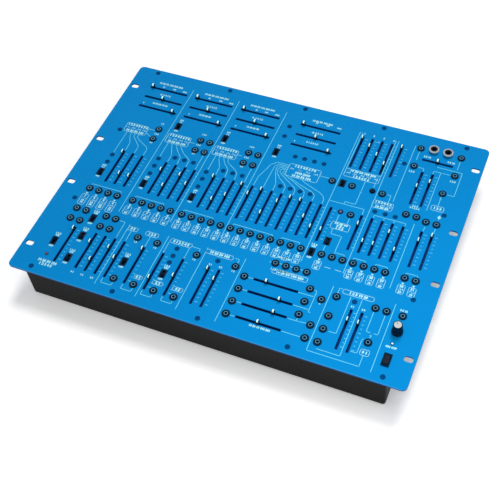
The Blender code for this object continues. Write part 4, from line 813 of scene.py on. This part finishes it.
upright_slots = [(column, row) for row, columns in MOVING_UPRIGHT_SLOTS.items() for column in columns]
upright_slots += [(slider[0], row) for row, sliders in FIXED_SLIDERS.items() for slider in sliders]
scale_marks = bmesh.new()
for column, row in upright_slots:
    x = column * GRID / MM + TICK_OFFSET
    for tick in range(-4, 5):
        y = (row * GRID + tick * QUARTER_TRAVEL / 2) / MM + TICK_LIFT
        reach = TICK_REACHES[tick % 4]
        add_path(scale_marks, ((x - reach, y), (x + reach, y)), FINE_WIDTH)
make_piece("slider_scales", scale_marks, line_ink)

# Painted shade: a navy line round each slot widens the dark of its opening.
slot_shade_paint = Finish("slot_shade_paint", roughness=0.5, specular=0.1)
slot_shade_paint.mottle(300.0, SLOT_SHADE_NAVY, SLOT_SHADE_NAVY_PALE)
slot_shade_lines = bmesh.new()
for column, row in upright_slots:
    add_slot_shade(slot_shade_lines, column, row, SLOT_WIDTH, SLOT_LENGTH)
for column, row in ACROSS_SLOTS:
    add_slot_shade(slot_shade_lines, column, row, SLOT_LENGTH, SLOT_WIDTH)
add_slot_shade(slot_shade_lines, *PAN_SLOT, PAN_SLOT_LENGTH, SLOT_WIDTH)
make_piece("painted_slot_shade", slot_shade_lines, slot_shade_paint)


# Slide switches
# Small black switches look up through windows in the panel. Each lever is moulded in black plastic with
# three ribs across its top for the fingertip. Seven windows have marks of their own printed round them.
RIB_LENGTH = 2.6 * MM
RIB_DEPTH = 0.45 * MM
RIB_HEIGHT = 0.35 * MM
RIB_STEP = 1.0 * MM
RIB_ROUNDING = 0.1 * MM
# Middles of the marked windows, in millimetres
MARKED_WINDOWS = (
    (-178.3, -82.3), (-178.3, -110.0), (-178.3, -143.9), (-113.2, -127.3), (-206.4, -127.3), (-62.6, -127.3),
    (86.5, -41.7),
)
# What is printed, how far up from the middle of the window, and the figures' height
WINDOW_MARKS = (("1 2 3", 11.1, 2.2), ("ON", 8.2, 2.0), ("OFF", -8.0, 2.0))

switch_marks = bmesh.new()
for x, y in MARKED_WINDOWS:
    for figures, lift, height in WINDOW_MARKS:
        add_number(switch_marks, figures, x, y + lift, height)
make_piece("switch_marks", switch_marks, ink)

for name in sorted(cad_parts):
    if not name.endswith("_switch"):
        continue
    dress(name, lever)
    x, y = middle(name)
    lever_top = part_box(name)[1].z
    ribs = bmesh.new()
    for index in (-1, 0, 1):
        centre = (x, y + index * RIB_STEP, lever_top)
        scale = Matrix.Diagonal((RIB_LENGTH, RIB_DEPTH, 2 * RIB_HEIGHT, 1))
        bmesh.ops.create_cube(ribs, size=1, matrix=Matrix.Translation(centre) @ scale)
    round_edges(ribs, ribs.edges[:], RIB_ROUNDING)
    make_piece(name + "_ribs", ribs, lever, body=name)


# Output sockets
# Two quarter-inch sockets at the far right. A round nut of polished chrome holds each, round a black plastic
# throat that is countersunk so that the plug finds its way in. The black reaches out over the inner slope
# of the countersink as painted shade.
SHADED_THROAT_RADIUS = 4.7 * MM
MOUTH_PROFILE = (
    (6.3, 0.2), (6.3, 3.5), (5.7, 4.3), (5.05, 4.5), (4.7, 4.4), (3.7, 4.15), (3.2, 3.5), (3.2, -12),
    (3.3, -12), (3.3, 0.2),
)
CHROME = (0.50, 0.50, 0.50, 1)

for name in ("left_output_socket", "right_output_socket"):
    socket_x, socket_y = middle(name)
    chrome = Finish(name + "_chrome", roughness=0.12, metallic=1.0)
    # Painted shade: within the throat's radius the chrome is coloured black and not metallic.
    plated = (chrome.from_axis(socket_x, socket_y) > SHADED_THROAT_RADIUS) * (chrome.z > PANEL_TOP - 0.1 * MM)
    chrome.set("Base Color", chrome.mix(plated, BLACK_PLASTIC, CHROME))
    chrome.set("Metallic", plated)
    chrome.grain(1200.0, 0.1, 0.22)
    dress(name, chrome)
    mouth = bmesh.new()
    add_turned(mouth, MOUTH_PROFILE, socket_x, socket_y)
    make_piece(name + "_mouth", mouth, chrome, smooth=True)


# Phones level knob
# A ribbed black knob with a turned aluminium disc pressed into its top. The disc has fine turning marks,
# and a dark pointer line lies on it, from its middle to its edge.
KNOB_X, KNOB_Y = middle("phones_level_knob")
SKIRT_PROFILE = (
    (0, 0.8), (6.4, 0.8), (6.5, 1.2), (6.4, 3.4), (5.9, 4.0), (5.75, 4.6), (5.35, 14.1), (5.25, 15.0),
    (4.95, 15.4), (4.4, 15.4), (4.3, 15.0), (0, 15.0),
)
CROWN_PROFILE = (
    (0, 14.9), (4.2, 14.9), (4.32, 15.1), (4.32, 15.25), (4.1, 15.45), (3.7, 15.45), (3.5, 15.35), (0, 15.38),
)
RIBS_LOW = PANEL_TOP + 4.3 * MM
RIBS_TOP = PANEL_TOP + 14.3 * MM
KNOB_RIBS = 24
KNOB_RIB_DEPTH = 0.35 * MM
TURNING_MARKS = 14000.0
ALUMINIUM = (0.60, 0.61, 0.62, 1)
ALUMINIUM_BRIGHT = (0.72, 0.73, 0.74, 1)
POINTER_ANGLE = math.radians(32)
POINTER_SIZE = (0.5 * MM, 3.4 * MM, 0.14 * MM, 1)
POINTER_ROUNDING = 0.05 * MM
POINTER_PLACE = (KNOB_X - 1.2 * MM, KNOB_Y + 1.9 * MM, PANEL_TOP + 15.42 * MM)

skirt = bmesh.new()
add_turned(skirt, SKIRT_PROFILE, KNOB_X, KNOB_Y, sides=2 * KNOB_RIBS)
for vert in skirt.verts:
    arm = Vector((vert.co.x - KNOB_X, vert.co.y - KNOB_Y, 0))
    step = round(math.atan2(arm.y, arm.x) / math.tau * 2 * KNOB_RIBS)
    if RIBS_LOW < vert.co.z < RIBS_TOP and step % 2:
        vert.co -= arm.normalized() * KNOB_RIB_DEPTH
make_piece("knob_skirt", skirt, nylon, body="phones_level_knob")

silver = Finish("turned_aluminium", roughness=0.3, metallic=1.0)
turned = (silver.from_axis(KNOB_X, KNOB_Y) * TURNING_MARKS).math("SINE")
silver.set("Base Color", silver.mix(silver.fade(turned, -1, 1), ALUMINIUM, ALUMINIUM_BRIGHT))
silver.set("Roughness", silver.fade(turned, -1, 1, 0.22, 0.36))
silver.bump(turned, 0.004 * MM)

crown = bmesh.new()
add_turned(crown, CROWN_PROFILE, KNOB_X, KNOB_Y, sides=48)
crown_piece = make_piece("knob_crown", crown, silver, body="phones_level_knob", smooth=True)
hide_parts("phones_level_knob")

pointer = bmesh.new()
pointer_turn = Matrix.Translation(POINTER_PLACE) @ Matrix.Rotation(POINTER_ANGLE, 4, "Z")
bmesh.ops.create_cube(pointer, size=1, matrix=pointer_turn @ Matrix.Diagonal(POINTER_SIZE))
round_edges(pointer, pointer.edges[:], POINTER_ROUNDING)
make_piece("knob_pointer", pointer, lever, body="phones_level_knob")


# Power switch
# A glossy black rocker in a black frame that snaps into the panel. A line and a ring are printed in dull
# grey on its two halves.
ROCKER_PIVOT = PANEL_TOP - 0.4 * MM
ROCKER_MIDDLE = -148.59 * MM
ROCKER_TIP = math.radians(10)
ROCKER_SLOPE = math.radians(13.5)
ROCKER_FACE = 3.6 * MM
MARK_PLACE = 2.5 * MM
MARK_LINE = (0.25 * MM, 1.3 * MM, INK_HEIGHT, 1)
MARK_RING = ((0.8, -0.03), (0.8, 0.04), (0.55, 0.04), (0.55, -0.03))
GLOSS_BLACK = (0.006, 0.006, 0.007, 1)
WORN_GREY = (0.045, 0.048, 0.055, 1)
WORN_GREY_PALE = (0.07, 0.075, 0.085, 1)

gloss_black = Finish("gloss_black", roughness=0.16, specular=0.2)
gloss_black.mottle(250.0, GLOSS_BLACK, BLACK_PLASTIC)
gloss_black.grain(700.0, 0.12, 0.24)
dress("power_rocker", gloss_black)
dress("power_switch_frame", nylon)
rocker_turn = Matrix.Translation((middle("power_rocker")[0], ROCKER_MIDDLE, ROCKER_PIVOT))
rocker_turn = rocker_turn @ Matrix.Rotation(ROCKER_TIP, 4, "X")
near_half = Matrix.Translation((0, -MARK_PLACE, ROCKER_FACE)) @ Matrix.Rotation(-ROCKER_SLOPE, 4, "X")
far_half = Matrix.Translation((0, MARK_PLACE, ROCKER_FACE)) @ Matrix.Rotation(ROCKER_SLOPE, 4, "X")
marks = bmesh.new()
bmesh.ops.create_cube(marks, size=1, matrix=rocker_turn @ near_half @ Matrix.Diagonal(MARK_LINE))
ring = bmesh.new()
add_turned(ring, MARK_RING, base=0, sides=20)
bmesh.ops.transform(ring, matrix=rocker_turn @ far_half, verts=ring.verts)
repeat(marks, ring)

worn_ink = Finish("worn_ink", roughness=0.55, specular=0.1)
worn_ink.mottle(300.0, WORN_GREY, WORN_GREY_PALE)
make_piece("power_rocker_marks", marks, worn_ink, body="power_rocker")


# Manual gate button
# A round push button of black plastic stands out of a hole in the panel. A thin turned collar of black
# nylon is pressed into the hole round it.
COLLAR_PROFILE = ((3.9, -0.1), (3.9, 0.5), (3.6, 0.7), (3.2, 0.7), (3.1, 0.5), (3.1, -0.1))

dress("manual_gate_button", lever)
collar = bmesh.new()
add_turned(collar, COLLAR_PROFILE, *middle("manual_gate_button"))
make_piece("gate_button_collar", collar, nylon, smooth=True)


# Lamps
# Three light-emitting diodes: a violet one in the middle row, a red one at the near left, and a pale one
# above the power switch. Each is a small glossy dome in a holder of black nylon.
DOME_ANGLES = [math.radians(22.5 * step) for step in range(4)]
# Name, column, row, colour, glow, and the radius of dome and holder in millimetres
LAMPS = (
    ("violet_lamp", 7.80, 1.99, (0.16, 0.09, 0.34, 1), 0.15, 1.8, 3.4),
    ("red_lamp", -16.13, -11.61, (0.17, 0.03, 0.06, 1), 0.12, 1.6, 2.2),
    ("power_lamp", 16.59, -10.02, (0.62, 0.80, 0.88, 1), 0.7, 1.2, 2.1),
)

for name, column, row, colour, glow, radius, holder in LAMPS:
    glass = Finish(name + "_glass", roughness=0.12)
    deeper = [0.7 * part for part in colour[:3]] + [1]
    glass.mottle(400.0, colour, deeper, 0.3, 0.7)
    glass.set("Emission Color", colour)
    glass.set("Emission Strength", glow)
    dome = bmesh.new()
    arc = [(radius * math.cos(angle), 0.5 + 0.7 * math.sin(angle)) for angle in DOME_ANGLES]
    dome_profile = [(0, -0.2), (radius, -0.2)] + arc + [(0, 1.2)]
    add_turned(dome, dome_profile, column * GRID, row * GRID, sides=24)
    make_piece(name + "_dome", dome, glass, smooth=True)
    ring = bmesh.new()
    inner = radius + 0.05
    ring_profile = ((holder, -0.1), (holder, 0.4), (holder - 0.25, 0.6), (inner, 0.6), (inner, -0.1))
    add_turned(ring, ring_profile, column * GRID, row * GRID, sides=24)
    make_piece(name + "_holder", ring, nylon, smooth=True)


# Screws
# Low steel screws with a cross recess, painted navy: fourteen round the edge hold the panel to the tub, and
# the others, the small dark discs on its face, hold the sliders and the circuit boards.
SCREW_RADIUS = 3.1 * MM
SCREW_HEIGHT = 0.5 * MM
SCREW_FALL = 0.35
SCREW_BURIED = -0.1 * MM
RECESS_DEPTH = 0.6 * SCREW_HEIGHT
RECESS_REACH = 0.7 * SCREW_RADIUS
ON_AXIS = 0.05 * SCREW_RADIUS
# Where the rings of the square grid begin, and where they lie on the round head, as shares of its radius
SCREW_RINGS = ((0.9, 1.0), (0.5, 0.62))
SCREW_NAVY = (0.001, 0.058, 0.190, 1)
SCREW_PALE = (0.001, 0.074, 0.240, 1)
EDGE_SCREWS = tuple(itertools.product((-213.3, -106.6, 0, 106.6, 213.3), (171.5, -169)))
EDGE_SCREWS += ((-215, 60.5), (-215, -60.5), (215.5, 59.7), (215.5, -65.9))
FACE_SCREWS = (
    (-203.8, 17.8), (-204.3, 5.3), (-144.8, 31.15), (-144.5, 18.4), (-144.4, 5.3), (-125.6, 38.9),
    (-112.6, 38.9), (-100.1, 38.9), (-78.5, 30.3), (-78.5, 18.4), (-78.5, 5.3), (-59.2, 38.9),
    (-46.55, 38.9), (-33.65, 38.9), (16.9, 38.9), (29.6, 38.9), (42.4, 38.9), (55.4, 38.9), (16.9, 89.9),
    (29.4, 89.9), (42.4, 89.9), (54.9, 89.9), (-8.45, 135.9), (-8.45, 118.15), (147.9, 122.65),
    (137.2, 38.9), (149.95, 38.9), (162.2, 38.9), (-62.3, -89.7), (-62.3, -100.6), (-62.3, -110.6),
    (-10.05, -89.85), (155.7, -90.25),
)

screw = bmesh.new()
bmesh.ops.create_grid(screw, x_segments=5, y_segments=5, size=SCREW_RADIUS)
for vert in screw.verts:
    reach = max(abs(vert.co.x), abs(vert.co.y))
    for start, ring_reach in SCREW_RINGS:
        if reach > start * SCREW_RADIUS:
            vert.co *= ring_reach * SCREW_RADIUS / vert.co.length
            break
    vert.co.z = SCREW_HEIGHT * (1 - SCREW_FALL * (vert.co.length / SCREW_RADIUS) ** 2)
recess = []
for face in screw.faces:
    centre = face.calc_center_median()
    if min(abs(centre.x), abs(centre.y)) < ON_AXIS and centre.xy.length < RECESS_REACH:
        recess.append(face)
sunk = bmesh.ops.extrude_face_region(screw, geom=recess)
bmesh.ops.delete(screw, geom=recess, context="FACES_ONLY")
sunk_verts = [item for item in sunk["geom"] if isinstance(item, bmesh.types.BMVert)]
bmesh.ops.translate(screw, verts=sunk_verts, vec=(0, 0, -RECESS_DEPTH))
rim = [edge for edge in screw.edges if edge.is_boundary]
for item in bmesh.ops.extrude_edge_only(screw, edges=rim)["geom"]:
    if isinstance(item, bmesh.types.BMVert):
        item.co.z = SCREW_BURIED
bmesh.ops.holes_fill(screw, edges=[edge for edge in screw.edges if edge.is_boundary], sides=0)
screws = bmesh.new()
repeat(screws, screw, [Vector((x * MM, y * MM, PANEL_TOP)) for x, y in EDGE_SCREWS + FACE_SCREWS])

painted_steel = Finish("navy_painted_steel", roughness=0.42, specular=0.04)
painted_steel.mottle(350.0, SCREW_NAVY, SCREW_PALE)
painted_steel.grain(1100.0, 0.3, 0.44)
make_piece("panel_screws", screws, painted_steel)


# Tub
# A box folded from 1.2 mm black powder-coated steel sheet, with four pressed feet. The coat has a fine
# grain, and its black is a little uneven.
TUB_BLACK = (0.0065, 0.0065, 0.007, 1)
TUB_GREY = (0.0095, 0.0095, 0.010, 1)

coat = Finish("powder_coat", roughness=0.5, specular=0.07)
dust = coat.noise(1500.0)
coat.set("Base Color", coat.mix(coat.fade(coat.noise(14.0, 4.0), 0.3, 0.7), TUB_BLACK, TUB_GREY))
coat.set("Roughness", coat.fade(dust, 0.3, 0.7, 0.42, 0.58))
coat.bump(dust, 0.02 * MM)
dress("rear_tub", coat)


# Spring reverb tank and rear sockets
# The tank is a folded tray of zinc-plated steel on the floor of the tub. The rear board carries black
# moulded sockets that look out of the far wall, the two round ones with a tinned shell and five contacts.
CONTROL_SOCKETS = (103 * MM, 127 * MM)
CONTROL_SOCKET_HEIGHT = 20.3 * MM
FAR_WALL = 175.43 * MM
REAR_BOARD_LOW = 9.2 * MM
REAR_BOARD_TOP = 10.9 * MM
PINS = 5
PIN_STEP = math.radians(45)
PIN_CIRCLE = 3.7 * MM
SHELL = ((6.5, -6), (6.5, -0.1), (6.2, -0.1), (6.2, -6))
PIN = ((0.85, -0.2), (0.85, 0.12), (0.5, 0.12), (0.5, -0.2))
ZINC = (0.42, 0.43, 0.45, 1)
ZINC_BRIGHT = (0.62, 0.63, 0.65, 1)
TIN = (0.40, 0.40, 0.41, 1)
TIN_BRIGHT = (0.55, 0.55, 0.56, 1)

zinc = Finish("zinc_plate", roughness=0.35, metallic=1.0)
spangle = zinc.add("ShaderNodeTexVoronoi", {}, {"Vector": zinc.place, "Scale": 130.0})
zinc.set("Base Color", zinc.mix(zinc.fade(spangle, 0.1, 0.7), ZINC, ZINC_BRIGHT))
zinc.grain(200.0, 0.28, 0.45)
dress("reverb_tank", zinc)

rear = Finish("rear_socket_plastic", roughness=0.4, specular=0.2)
rear_board = (rear.z > REAR_BOARD_LOW) * (rear.z < REAR_BOARD_TOP)
rear.set("Base Color", rear.mix(rear_board, BLACK_PLASTIC, SOLDER_MASK))
rear.grain(900.0, 0.34, 0.48)
rear.bump(rear.noise(2200.0), 0.01 * MM)
dress("rear_socket_board", rear)

tin = Finish("tinned_contacts", roughness=0.35, metallic=1.0)
tin.mottle(1600.0, TIN, TIN_BRIGHT, 0.3, 0.7)
tin.grain(900.0, 0.28, 0.45)
contacts = bmesh.new()
for socket_x in CONTROL_SOCKETS:
    socket = bmesh.new()
    add_turned(socket, SHELL, base=0)
    for step in range(PINS):
        pin_x = PIN_CIRCLE * math.cos(PIN_STEP * step)
        pin_y = PIN_CIRCLE * math.sin(PIN_STEP * step)
        add_turned(socket, PIN, pin_x, pin_y, base=0, sides=10)
    place = Matrix.Translation((socket_x, FAR_WALL, CONTROL_SOCKET_HEIGHT))
    bmesh.ops.transform(socket, matrix=place @ Matrix.Rotation(-math.pi / 2, 4, "X"), verts=socket.verts)
    repeat(contacts, socket)
make_piece("control_socket_contacts", contacts, tin, smooth=True)
